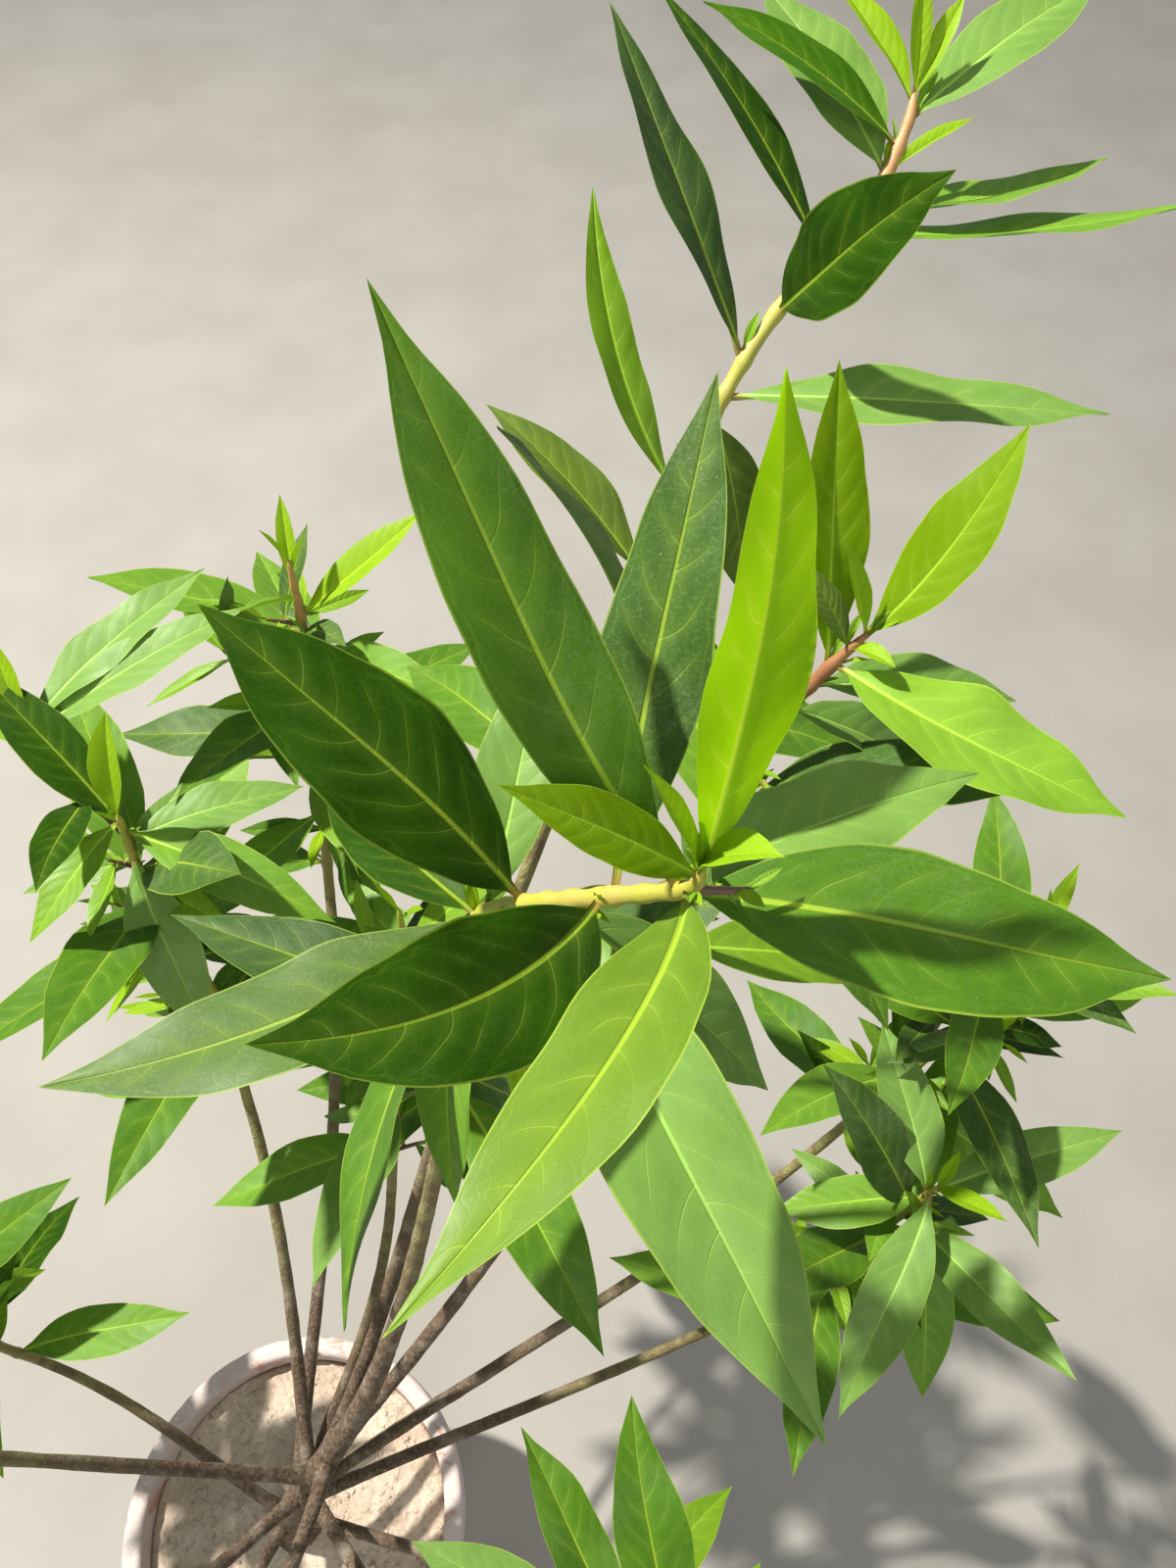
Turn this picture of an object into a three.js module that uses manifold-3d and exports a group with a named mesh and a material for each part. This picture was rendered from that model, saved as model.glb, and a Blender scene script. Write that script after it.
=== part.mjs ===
// Potted conocarpus: a young evergreen shrub of long lance-shaped leaves in a clay nursery pot.
// Millimetres, +Z up. The origin is the middle of the pot's flat underside.
// The trunk stands on the soil and forks into boughs, and each bough carries one leafy shoot.

import * as THREE from 'three';
import { mergeVertices } from 'three/addons/utils/BufferGeometryUtils.js';
import Module from 'manifold-3d';

const wasm = await Module();
wasm.setup();

// Driving dimensions
const GAP = 0.3;
const POT = {
  height: 220, footRadius: 80, shoulderRadius: 116, rimRadius: 125, rimHeight: 30, rimWidth: 14,
  wall: 10, floor: 14, edge: 3, insideStep: 1, segments: 32,
  holeRadius: 6, holeCircle: 45, holeCount: 3, holeSides: 8,
};
const SOIL = { top: 200, dip: 3, outerRing: 0.78, innerRing: 0.5, innerDip: 1.8, settled: 1, flatRadius: 26 };
const TRUNK = {
  footRadius: 11, forkRadius: 7.2, flare: 6.5, flareHeight: 9, lobes: 3, lobeDepth: 0.1, sides: 12, steps: 10,
  line: [[0, 0, 200.3], [0, 0, 222], [6, 5, 262], [29, 18, 330], [70, 45, 430]],
};
const BOUGH = {
  shortRootRadius: 4.2, longRootRadius: 5.6, longReach: 700, tipRadius: 3, taper: 0.7, sides: 6, steps: 7,
  rootRise: 48, rootPull: 0.3, tipPull: 0.42,
};
const SHOOT = { footRadius: 3, neckRadius: 2.2, tipRadius: 0.9, neck: 30, taper: 0.6, sides: 5, steps: 6 };
const TWIG = { radius: 1.5, tipRadius: 0.7, sides: 5, steps: 2, sag: 0.06, youngest: 3, leafyShare: 0.62 };
const LEAF = {
  long: 114, slimness: 0.3, thickness: 0.014, leastThickness: 0.7, stalkShare: 0.05, stalkRadius: 1.1,
  stations: [0, 0.2, 0.5, 1], clearance: 1.2, outline: [0.95, 1.15], broadest: 0.2355,
};
// How leaves change down a stem, from small and upright at the tip to long and drooping
const SPIRAL = {
  step: 137.5, stepJitter: 9, crowding: 1.3, youngLeaves: 7, youngSize: 0.24, youngWidth: 0.78,
  youngRise: 72, grownRise: 38, droop: 62, riseJitter: 9, sizes: [0.9, 1.08], widths: [0.9, 1.1],
  arches: [0.02, 0.08], rollJitter: 16, sweepJitter: 0.03, uprightShare: 0.85, lift: 0.08,
};
const FINEST_FACE = 0.1;

const COLOURS = { clay: 0xc9b3a6, soil: 0xcbb89c, bark: 0x8a6a52, leaf: 0x4f8a34 };

// The leaves that the photograph shows, each as: millimetres below the shoot's tip, turn about the
// vertical in degrees from +X, rise in degrees, length, width, arch as a share of the length, roll,
// and for some a sideways sweep as a share of the length
const CENTRE_LEAVES = [
  [1, 110, 74, 13, 4, 0, 0],
  [1.5, 164, 68, 37, 8, 0.02, 0],
  [2, -32, 54, 27, 12, 0.12, 0],
  [2.5, 79, 69, 104, 23, 0.03, 36, 0.02],
  [3.5, 179, 41, 53, 15, 0.04, -12],
  [9, -120, 15, 108, 24, 0.09, 14, -0.1],
  [12, 130, 47, 134, 28, 0.03, 0, -0.04],
  [15, -7, -8, 114, 35, 0.04, 8],
  [23, 25, -7, 95, 27, 0.04, 0],
  [34, 75, 47, 116, 26, 0.04, -10],
  [39, -141, 28, 93, 34, 0.04, -16, -0.11],
  [49, -65, -12, 127, 35, 0.06, 0, 0.03],
  [59, -24, -44, 92, 28, 0.06, 0],
  [70, 149, 37, 107, 37, 0.06, 0],
  [80, -154, 5, 118, 31, 0.02, 10, -0.08],
  [98, 75, 24, 82, 24, 0.05, 0],
  [105, 135, -16, 82, 28, 0.06, 0],
  [116, -95, -37, 84, 27, 0.08, 40],
  [127, -108, -20, 114, 32, 0.08, 52],
  [143, 22, -24, 100, 30, 0.08, 0],
  [160, 172, -28, 96, 29, 0.08, 0],
];
const RIGHT_LEAVES = [
  [0.5, 6, 40, 17, 6, 0, 0],
  [1.5, 135, 64, 31, 9, 0.02, 0],
  [2.5, 39, 46, 72, 22, 0.03, 0, 0.065],
  [8, -49, 21, 17, 8, 0.1, 0],
  [8.5, 141, 48, 32, 11, 0.05, 0],
  [15, -33, -4, 93, 33, 0.06, 0, 0.07],
  [18, 92, 50, 88, 23, 0.04, 24, -0.03],
  [26, 5, -13, 72, 23, 0.05, 0],
  [38, 2, -38, 76, 24, 0.06, 0],
  [52, 118, 4, 94, 29, 0.06, 0],
  [66, -58, -30, 98, 30, 0.08, 0],
];
const FAR_LEAVES = [
  [0.5, 93, 60, 34, 8, 0, 0],
  [1, 50, 48, 30, 9, 0, 0],
  [3, 130, 30, 45, 15, 0.03, 0],
  [8, 36, 14, 82, 26, 0.05, 0],
  [16, 162, 26, 74, 22, 0.05, 0],
  [25, 118, 18, 83, 31, 0.05, 0],
  [24, 20, 24, 30, 8, 0.04, 0],
  [36, 17, 2, 86, 26, -0.05, -18],
  [44, 3, 3, 113, 30, -0.04, -20],
  [56, 130, 32, 98, 22, 0.04, 20],
  [77, -48, 53, 83, 31, 0.05, 75],
  [95, 121, 41, 113, 24, 0.04, 24, -0.05],
  [107, -8, 3, 122, 28, 0.05, 0, 0.05],
  [114, -58, -64, 68, 26, 0.06, 0],
  [143, 113, 44, 101, 16, 0.04, 16, -0.11],
  [174, 140, 28, 81, 30, 0.05, 20],
];
const LEFT_LEAVES = [
  [1, 71, 66, 54, 20, 0.03, 0],
  [4, -118, -9, 63, 21, 0.06, 0],
  [7, 138, 29, 92, 27, 0.05, 0],
  [12, -20, -12, 104, 29, 0.07, 0],
  [20, 23, -2, 82, 27, 0.06, 0],
  [30, -65, -34, 92, 30, 0.08, 0],
];
const LEFT_TWIG_LEAVES = [
  [1, 50, 9, 110, 27, 0.05, 0],
  [4, 33, 10, 112, 28, 0.05, 0],
];
const LOW_RIGHT_LEAVES = [
  [1, 60, 66, 30, 8, 0.02, 0],
  [3, -48, 48, 46, 13, 0.03, 0],
  [6, -118, -19, 116, 31, 0.06, 0],
  [9, 15, 11, 101, 28, 0.06, 0],
  [12, 102, 19, 88, 31, 0.06, 0],
  [16, -178, -11, 76, 27, 0.06, 0],
  [22, -86, -40, 108, 30, 0.08, 0],
];
const LOW_FRONT_LEAVES = [
  [1, 96, 74, 58, 12, 0.02, 0],
  [3, 58, 64, 84, 17, 0.03, 0],
  [6, 128, 60, 66, 15, 0.04, 0],
];

// Every shoot: the height its bough leaves the trunk at, the stem's points from its foot to its tip,
// its listed leaves, the leaves that follow by the rule, its side twigs, and more steps where it winds
const SHOOTS = [
  {
    name: 'centre', root: 430, steps: 20, leaves: CENTRE_LEAVES,
    stem: [[163, 135, 780], [175, 146, 845], [181, 148, 898], [188, 144, 933], [201, 134, 960],
      [223, 123, 986], [239, 115, 1005], [242, 115, 1014]],
    more: { from: 178, to: 236, count: 3, age: 7, turn: 250 },
    twigs: [{ at: 10, turn: -8, rise: 12, long: 14, leaves: 4, size: 19 },
      { at: 114, turn: -74, rise: -6, long: 36, leaves: 4, size: 44 }],
  },
  {
    name: 'right', root: 390, leaves: RIGHT_LEAVES,
    stem: [[246, 184, 803], [264, 200, 868], [277, 214, 925], [288, 217, 948], [300, 219, 967]],
    more: { from: 80, to: 160, count: 4, age: 7, turn: -170 },
  },
  {
    name: 'far', root: 362, steps: 13, leaves: FAR_LEAVES,
    stem: [[203, 240, 834], [226, 268, 894], [248, 294, 950], [263, 312, 978], [281, 330, 999],
      [307, 351, 1020], [317, 365, 1035], [319, 372, 1043]],
    more: { from: 190, to: 262, count: 3, age: 7, turn: 70 },
  },
  {
    name: 'left', root: 350, leaves: LEFT_LEAVES,
    stem: [[24, 202, 579], [18, 236, 640], [6, 254, 720], [10, 263, 793]],
    more: { from: 42, to: 200, count: 10, age: 7, turn: 176 },
    twigs: [{ at: 16, turn: 140, rise: 32, long: 64, rows: LEFT_TWIG_LEAVES, leaves: 3, size: 88 }],
  },
  {
    name: 'low_right', root: 292, leaves: LOW_RIGHT_LEAVES,
    stem: [[324, 113, 457], [348, 120, 500], [374, 132, 572], [391, 140, 642]],
    more: { from: 30, to: 176, count: 9, age: 7, turn: 40 },
  },
  {
    name: 'low_front', root: 276, leaves: LOW_FRONT_LEAVES,
    stem: [[210, -44, 423], [228, -52, 458], [254, -60, 520], [266, -56, 580]],
    more: { from: 9, to: 146, count: 10, age: 4, turn: -60 },
  },
  {
    name: 'front', root: 392, stem: [[64, -119, 691], [67, -154, 752], [77, -182, 838], [75, -192, 908]],
    more: { from: 2, to: 205, count: 16, turn: 20 },
    twigs: [{ at: 96, turn: -20, rise: 24, long: 48, leaves: 5, size: 78 }],
  },
  {
    name: 'front_left', root: 326,
    stem: [[-80, -107, 579], [-105, -132, 640], [-127, -152, 722], [-131, -156, 792]],
    more: { from: 2, to: 202, count: 16, turn: 100 },
    twigs: [{ at: 88, turn: -70, rise: 22, long: 46, leaves: 5, size: 80 }],
  },
  {
    name: 'side_left', root: 360,
    stem: [[-128, 28, 651], [-163, 28, 712], [-193, 28, 800], [-197, 32, 872]],
    more: { from: 2, to: 210, count: 16, turn: 220 },
    twigs: [{ at: 92, turn: 110, rise: 24, long: 48, leaves: 5, size: 78 }],
  },
  {
    name: 'back', root: 306, stem: [[67, 309, 629], [69, 344, 690], [75, 370, 770], [79, 376, 836]],
    more: { from: 2, to: 200, count: 16, turn: 64 },
    twigs: [{ at: 84, turn: 170, rise: 24, long: 46, leaves: 5, size: 80 }],
  },
  {
    name: 'inner_back', root: 322, stem: [[103, 165, 535], [111, 198, 596], [124, 236, 670], [128, 246, 735]],
    more: { from: 2, to: 186, count: 14, turn: 30 },
  },
  {
    name: 'side_right', root: 318,
    stem: [[358, 188, 555], [389, 204, 616], [419, 222, 684], [428, 229, 748]],
    more: { from: 2, to: 190, count: 15, turn: 10 },
  },
  {
    name: 'front_right', root: 340,
    stem: [[216, -156, 559], [239, -182, 620], [257, -202, 694], [259, -208, 762]],
    more: { from: 2, to: 196, count: 15, turn: 250 },
  },
  {
    name: 'low_left', root: 264,
    stem: [[-143, 90, 395], [-167, 98, 436], [-201, 112, 492], [-209, 116, 552]],
    more: { from: 2, to: 162, count: 14, turn: 130 },
  },
  {
    name: 'low_back', root: 268, stem: [[109, 222, 404], [117, 252, 450], [131, 286, 520], [133, 294, 588]],
    more: { from: 2, to: 178, count: 14, turn: 300 },
  },
  {
    name: 'low_side', root: 250,
    stem: [[-53, -148, 378], [-63, -168, 412], [-79, -198, 474], [-81, -206, 536]],
    more: { from: 2, to: 156, count: 14, turn: 10 },
  },
];

const UP = new THREE.Vector3(0, 0, 1);
const point = ([x, y, z]) => new THREE.Vector3(x, y, z);
const radians = (degrees) => THREE.MathUtils.degToRad(degrees);
const blend = (from, to, share) => from + (to - from) * share;
const ease = (share) => THREE.MathUtils.smoothstep(share, 0, 1);

// A seeded draw between 0 and 1 that is the same on every run
function makeDraw(seed) {
  let state = seed;
  return () => {
    state = (Math.imul(state, 1664525) + 1013904223) >>> 0;
    return state / 4294967296;
  };
}

// Joins a geometry's shared corners and drops the faces that this leaves flat
function weld(geometry) {
  geometry.deleteAttribute('normal');
  geometry.deleteAttribute('uv');
  const joined = mergeVertices(geometry, 1e-4);
  const kept = [];
  for (let i = 0; i < joined.index.count; i += 3) {
    const face = [0, 1, 2].map((k) => joined.index.getX(i + k));
    if (new Set(face).size === 3) kept.push(...face);
  }
  joined.setIndex(kept);
  return joined;
}

// Moves each corner of a welded geometry to the place that a rule gives it
function reshape(geometry, place) {
  const welded = weld(geometry);
  const corners = welded.attributes.position;
  const corner = new THREE.Vector3();
  for (let i = 0; i < corners.count; i++) {
    const moved = place(corner.fromBufferAttribute(corners, i));
    corners.setXYZ(i, moved.x, moved.y, moved.z);
  }
  return welded;
}

function toSolid(geometry) {
  return new wasm.Manifold(new wasm.Mesh({
    numProp: 3,
    vertProperties: new Float32Array(geometry.attributes.position.array),
    triVerts: new Uint32Array(geometry.index.array),
  }));
}

function toGeometry(solid) {
  const { vertProperties, triVerts } = solid.getMesh();
  const geometry = new THREE.BufferGeometry();
  geometry.setAttribute('position', new THREE.BufferAttribute(new Float32Array(vertProperties), 3));
  geometry.setIndex(new THREE.BufferAttribute(new Uint32Array(triVerts), 1));
  geometry.computeVertexNormals();
  return geometry;
}

// The largest body of a solid, so that no loose scrap or sealed hollow is left
function largestBody(solid) {
  return solid.decompose().reduce((most, body) => (body.volume() > most.volume() ? body : most));
}

// A smooth line through points
function lineThrough(points) {
  return new THREE.CatmullRomCurve3(points.map(point), false, 'catmullrom', 0.5);
}

// A tapering limb along a line, round in section and cut square at both ends
function limb(line, radiusAt, sides, steps) {
  const frames = line.computeFrenetFrames(steps);
  return toSolid(reshape(new THREE.CylinderGeometry(1, 1, 1, sides, steps), (corner) => {
    const share = corner.y + 0.5;
    const step = Math.round(share * steps);
    const angle = Math.atan2(corner.z, corner.x);
    const radius = Math.hypot(corner.x, corner.z) * radiusAt(share, angle);
    return line.getPointAt(share)
      .addScaledVector(frames.binormals[step], Math.cos(angle) * radius)
      .addScaledVector(frames.normals[step], Math.sin(angle) * radius);
  }));
}

// Half the blade's width at a share of the leaf's length, widest at two fifths of the blade
function outlineAt(share, wide) {
  const v = THREE.MathUtils.clamp((share - LEAF.stalkShare) / (1 - LEAF.stalkShare), 0, 1);
  const blade = v ** LEAF.outline[0] * (1 - v) ** LEAF.outline[1] / LEAF.broadest;
  return Math.max(LEAF.stalkRadius * (1 - v), blade * wide / 2);
}

// One leaf: a thin arched blade, flat above, with the midrib as a keel along its underside
function leafSolid(leaf, extra = 0) {
  const { base, aim, long, wide, arch, roll, sweep } = leaf;
  const above = UP.clone().addScaledVector(aim, -UP.dot(aim)).normalize().applyAxisAngle(aim, radians(roll));
  const across = new THREE.Vector3().crossVectors(aim, above);
  const thick = Math.max(long * LEAF.thickness, LEAF.leastThickness);
  const spans = LEAF.stations.length - 1;
  return toSolid(reshape(new THREE.ConeGeometry(1, 1, 3, spans, false, Math.PI), (corner) => {
    const height = corner.y + 0.5;
    const share = LEAF.stations[Math.round(height * spans)];
    const bow = 4 * share * (1 - share);
    const slope = 4 * arch * (1 - 2 * share);
    const normal = above.clone().addScaledVector(aim, -slope).normalize();
    const side = Math.abs(corner.x) > 1e-6 ? Math.sign(corner.x) : 0;
    const keel = side === 0 && corner.z < -1e-6;
    return base.clone()
      .addScaledVector(aim, share * long)
      .addScaledVector(above, arch * bow * long)
      .addScaledVector(across, side * (outlineAt(share, wide) + extra) + sweep * bow * long)
      .addScaledVector(normal, keel ? -thick - extra : extra);
  }));
}

// A direction from its turn about the vertical and its rise above the level
function heading(turn, rise) {
  const level = Math.cos(radians(rise));
  return new THREE.Vector3(
    level * Math.cos(radians(turn)), level * Math.sin(radians(turn)), Math.sin(radians(rise)));
}

// A direction from a stem's own axis: round it by the turn, out from it and lifted to the light
function headingFrom(axis, turn, rise) {
  const right = new THREE.Vector3().crossVectors(UP, axis);
  if (right.length() < 0.05) right.set(1, 0, 0);
  right.normalize();
  const forward = new THREE.Vector3().crossVectors(axis, right);
  const out = right.multiplyScalar(Math.cos(radians(turn))).addScaledVector(forward, Math.sin(radians(turn)));
  const aim = out.multiplyScalar(Math.cos(radians(rise))).addScaledVector(axis, Math.sin(radians(rise)));
  aim.z = aim.z * SPIRAL.uprightShare + SPIRAL.lift;
  return aim.normalize();
}

// Leaves in a spiral from a stem's tip down: small and upright when young, then long and spreading
function leavesByRule(line, rule, draw) {
  const { from, to, count, age = 0, turn, size = LEAF.long } = rule;
  const within = ([least, most]) => blend(least, most, draw());
  const jitter = (most) => blend(-most, most, draw());
  const length = line.getLength();
  return Array.from({ length: count }, (_, i) => {
    const share = count > 1 ? i / (count - 1) : 0;
    const grown = ease((age + i) / SPIRAL.youngLeaves);
    const place = 1 - blend(from, to, share ** SPIRAL.crowding) / length;
    const long = size * blend(SPIRAL.youngSize, 1, grown) * within(SPIRAL.sizes);
    const rise = blend(SPIRAL.youngRise, SPIRAL.grownRise, grown) - SPIRAL.droop * share
      + jitter(SPIRAL.riseJitter);
    const around = turn + SPIRAL.step * i + jitter(SPIRAL.stepJitter);
    return {
      base: line.getPointAt(place),
      aim: headingFrom(line.getTangentAt(place), around, rise),
      long,
      wide: long * LEAF.slimness * blend(SPIRAL.youngWidth, 1, grown) * within(SPIRAL.widths),
      arch: within(SPIRAL.arches) * grown,
      roll: jitter(SPIRAL.rollJitter),
      sweep: jitter(SPIRAL.sweepJitter),
    };
  });
}

function leavesFromList(line, rows) {
  const length = line.getLength();
  return rows.map(([down, turn, rise, long, wide, arch, roll, sweep = 0]) => ({
    base: line.getPointAt(1 - down / length), aim: heading(turn, rise), long, wide, arch, roll, sweep,
  }));
}

// The trunk: a tapering stem that leans, with a lobed flare where it meets the soil
function trunkRadius(grow) {
  const tall = TRUNK.line[TRUNK.line.length - 1][2] - TRUNK.line[0][2];
  return (share, angle) => {
    const flare = Math.exp(-share * tall / TRUNK.flareHeight);
    const lobe = 1 + TRUNK.lobeDepth * flare * Math.cos(TRUNK.lobes * angle);
    return (blend(TRUNK.footRadius, TRUNK.forkRadius, share) + TRUNK.flare * flare) * lobe + grow;
  };
}

const trunkLine = lineThrough(TRUNK.line);
const trunk = limb(trunkLine, trunkRadius(0), TRUNK.sides, TRUNK.steps);
const trunkAndGap = limb(trunkLine, trunkRadius(GAP), TRUNK.sides, TRUNK.steps);

// The place on the trunk's middle line at a height
function onTrunk(height) {
  let low = 0;
  let high = 1;
  for (let i = 0; i < 30; i++) {
    const middle = (low + high) / 2;
    if (trunkLine.getPointAt(middle).z < height) low = middle;
    else high = middle;
  }
  return trunkLine.getPointAt(low);
}

// A bough runs out of the trunk, turns up and ends where it enters its shoot
function boughSolid(shoot, stemLine) {
  const end = stemLine.getPointAt(0).addScaledVector(stemLine.getTangentAt(0), -GAP);
  const top = TRUNK.line[TRUNK.line.length - 1];
  const fromFork = shoot.root >= top[2];
  const trunkTip = point(top).addScaledVector(trunkLine.getTangentAt(1), GAP);
  const start = fromFork ? trunkTip : onTrunk(shoot.root);
  const reach = start.distanceTo(end);
  const outward = end.clone().sub(start).setZ(0);
  const rise = fromFork
    ? trunkLine.getTangentAt(1)
    : outward.normalize().multiplyScalar(Math.cos(radians(BOUGH.rootRise)))
      .setZ(Math.sin(radians(BOUGH.rootRise)));
  const line = new THREE.CubicBezierCurve3(
    start,
    start.clone().addScaledVector(rise, reach * BOUGH.rootPull),
    end.clone().addScaledVector(stemLine.getTangentAt(0), -reach * BOUGH.tipPull),
    end);
  const sideRadius = blend(BOUGH.shortRootRadius, BOUGH.longRootRadius, reach / BOUGH.longReach);
  const rootRadius = fromFork ? TRUNK.forkRadius : sideRadius;
  const radiusAt = (share) => blend(rootRadius, BOUGH.tipRadius, share ** BOUGH.taper);
  const whole = limb(line, radiusAt, BOUGH.sides, BOUGH.steps);
  return fromFork ? whole : whole.subtract(trunkAndGap);
}

// A shoot's stem narrows slowly, then fast near its soft tip
function stemSolid(shoot, line, grow) {
  const length = line.getLength();
  const radiusAt = (share) => {
    const down = (1 - share) * length;
    if (down > SHOOT.neck) {
      return blend(SHOOT.neckRadius, SHOOT.footRadius, (down - SHOOT.neck) / (length - SHOOT.neck)) + grow;
    }
    return blend(SHOOT.tipRadius, SHOOT.neckRadius, (down / SHOOT.neck) ** SHOOT.taper) + grow;
  };
  return limb(line, radiusAt, SHOOT.sides, shoot.steps ?? SHOOT.steps);
}

// A side twig on a shoot, with a few leaves towards its end
function twigOn(stemLine, twig, draw) {
  const base = stemLine.getPointAt(1 - twig.at / stemLine.getLength());
  const aim = heading(twig.turn, twig.rise);
  const middle = base.clone().addScaledVector(aim, twig.long / 2).addScaledVector(UP, -twig.long * TWIG.sag);
  const line = new THREE.QuadraticBezierCurve3(base, middle, base.clone().addScaledVector(aim, twig.long));
  const radiusAt = (share) => blend(TWIG.radius, TWIG.tipRadius, share);
  return {
    solid: limb(line, radiusAt, TWIG.sides, TWIG.steps),
    leaves: [...leavesFromList(line, twig.rows ?? []), ...leavesByRule(line, {
      from: 1, to: twig.long * TWIG.leafyShare, count: twig.leaves,
      age: TWIG.youngest, turn: twig.turn, size: twig.size,
    }, draw)],
  };
}

// A shoot is one solid: its stem and twigs with every leaf that stays clear of what is already there
function shootSolid(shoot, stemLine, seed, taken) {
  const draw = makeDraw(seed);
  const wood = [stemSolid(shoot, stemLine, 0)];
  const leaves = leavesFromList(stemLine, shoot.leaves ?? []);
  if (shoot.more) leaves.push(...leavesByRule(stemLine, shoot.more, draw));
  for (const twig of shoot.twigs ?? []) {
    const side = twigOn(stemLine, twig, draw);
    if (!side.solid.intersect(taken).isEmpty()) continue;
    wood.push(side.solid);
    leaves.push(...side.leaves);
  }
  const kept = leaves.filter((leaf) => leafSolid(leaf, LEAF.clearance).intersect(taken).isEmpty());
  const joined = wasm.Manifold.union([...wood, ...kept.map((leaf) => leafSolid(leaf))]);
  return largestBody(joined.simplify(FINEST_FACE));
}

// The pot: a turned clay wall with a thick rim, a flat underside and drain holes round its middle
function potSolid() {
  const { height, footRadius, shoulderRadius, rimRadius, rimHeight, rimWidth } = POT;
  const { wall, floor, edge, insideStep } = POT;
  const neck = height - rimHeight;
  const arc = (x, y, from, to) => [0, 1, 2].map((i) => {
    const angle = radians(blend(from, to, i / 2));
    return new THREE.Vector2(x + edge * Math.cos(angle), y + edge * Math.sin(angle));
  });
  const profile = [
    new THREE.Vector2(0, 0),
    new THREE.Vector2(footRadius - edge, 0),
    new THREE.Vector2(footRadius, edge),
    new THREE.Vector2(shoulderRadius, neck),
    new THREE.Vector2(rimRadius, neck + 2 * edge),
    ...arc(rimRadius - edge, height - edge, 0, 90),
    ...arc(rimRadius - rimWidth + edge, height - edge, 90, 180),
    new THREE.Vector2(rimRadius - rimWidth - insideStep, neck),
    new THREE.Vector2(footRadius - wall, floor),
    new THREE.Vector2(0, floor),
  ];
  const turned = new THREE.LatheGeometry(profile, POT.segments).rotateX(Math.PI / 2);
  let pot = toSolid(weld(turned));
  for (let i = 0; i < POT.holeCount; i++) {
    const angle = 2 * Math.PI * i / POT.holeCount;
    const drill = new THREE.CylinderGeometry(POT.holeRadius, POT.holeRadius, 3 * floor, POT.holeSides)
      .rotateX(Math.PI / 2)
      .translate(POT.holeCircle * Math.cos(angle), POT.holeCircle * Math.sin(angle), 0);
    pot = pot.subtract(toSolid(weld(drill)));
  }
  return pot;
}

// The pot's inner radius at a height below the rim
function potInside(z) {
  const neck = POT.height - POT.rimHeight;
  const mouth = POT.rimRadius - POT.rimWidth;
  const throat = mouth - POT.insideStep;
  if (z > neck) return blend(throat, mouth, (z - neck) / (POT.rimHeight - POT.edge));
  return blend(POT.footRadius - POT.wall, throat, (z - POT.floor) / (neck - POT.floor));
}

// The soil fills the pot to about two centimetres below the rim, flat round the trunk
function soilSolid() {
  const neck = POT.height - POT.rimHeight;
  const low = POT.floor + GAP;
  const mouth = potInside(SOIL.top);
  const profile = [
    new THREE.Vector2(0, low),
    new THREE.Vector2(potInside(low) - GAP, low),
    new THREE.Vector2(potInside(neck) - GAP, neck),
    new THREE.Vector2(mouth - GAP, SOIL.top - SOIL.settled),
    new THREE.Vector2(mouth * SOIL.outerRing, SOIL.top - SOIL.dip),
    new THREE.Vector2(mouth * SOIL.innerRing, SOIL.top - SOIL.innerDip),
    new THREE.Vector2(SOIL.flatRadius, SOIL.top),
    new THREE.Vector2(0, SOIL.top),
  ];
  return toSolid(weld(new THREE.LatheGeometry(profile, POT.segments).rotateX(Math.PI / 2)));
}

function clay(colour) {
  return new THREE.MeshStandardMaterial({ color: colour, roughness: 0.9, metalness: 0 });
}

function living(colour) {
  return new THREE.MeshStandardMaterial({ color: colour, roughness: 0.45, metalness: 0 });
}

const plant = new THREE.Group();

function addPiece(name, solid, material) {
  const mesh = new THREE.Mesh(toGeometry(solid), material);
  mesh.name = name;
  plant.add(mesh);
}

addPiece('pot', potSolid(), clay(COLOURS.clay));
addPiece('soil', soilSolid(), clay(COLOURS.soil));
addPiece('trunk', trunk, living(COLOURS.bark));

// All boughs come first, so that every shoot's leaves keep clear of them
const stemLines = SHOOTS.map((shoot) => lineThrough(shoot.stem));
const boughs = SHOOTS.map((shoot, i) => boughSolid(shoot, stemLines[i]));
boughs.forEach((solid, i) => addPiece(`bough_${SHOOTS[i].name}`, solid, living(COLOURS.bark)));

const shootStems = SHOOTS.map((shoot, i) => stemSolid(shoot, stemLines[i], GAP));
let grown = wasm.Manifold.union([trunkAndGap, ...boughs]);
SHOOTS.forEach((shoot, i) => {
  const otherStems = shootStems.filter((stem, k) => k > i);
  const taken = wasm.Manifold.union([grown, ...otherStems]);
  const solid = shootSolid(shoot, stemLines[i], i + 1, taken);
  grown = grown.add(solid);
  addPiece(`shoot_${shoot.name}`, solid, living(COLOURS.leaf));
});

export default plant;
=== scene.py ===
import math

import bpy
import numpy as np
from mathutils import Matrix, Vector, noise


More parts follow.
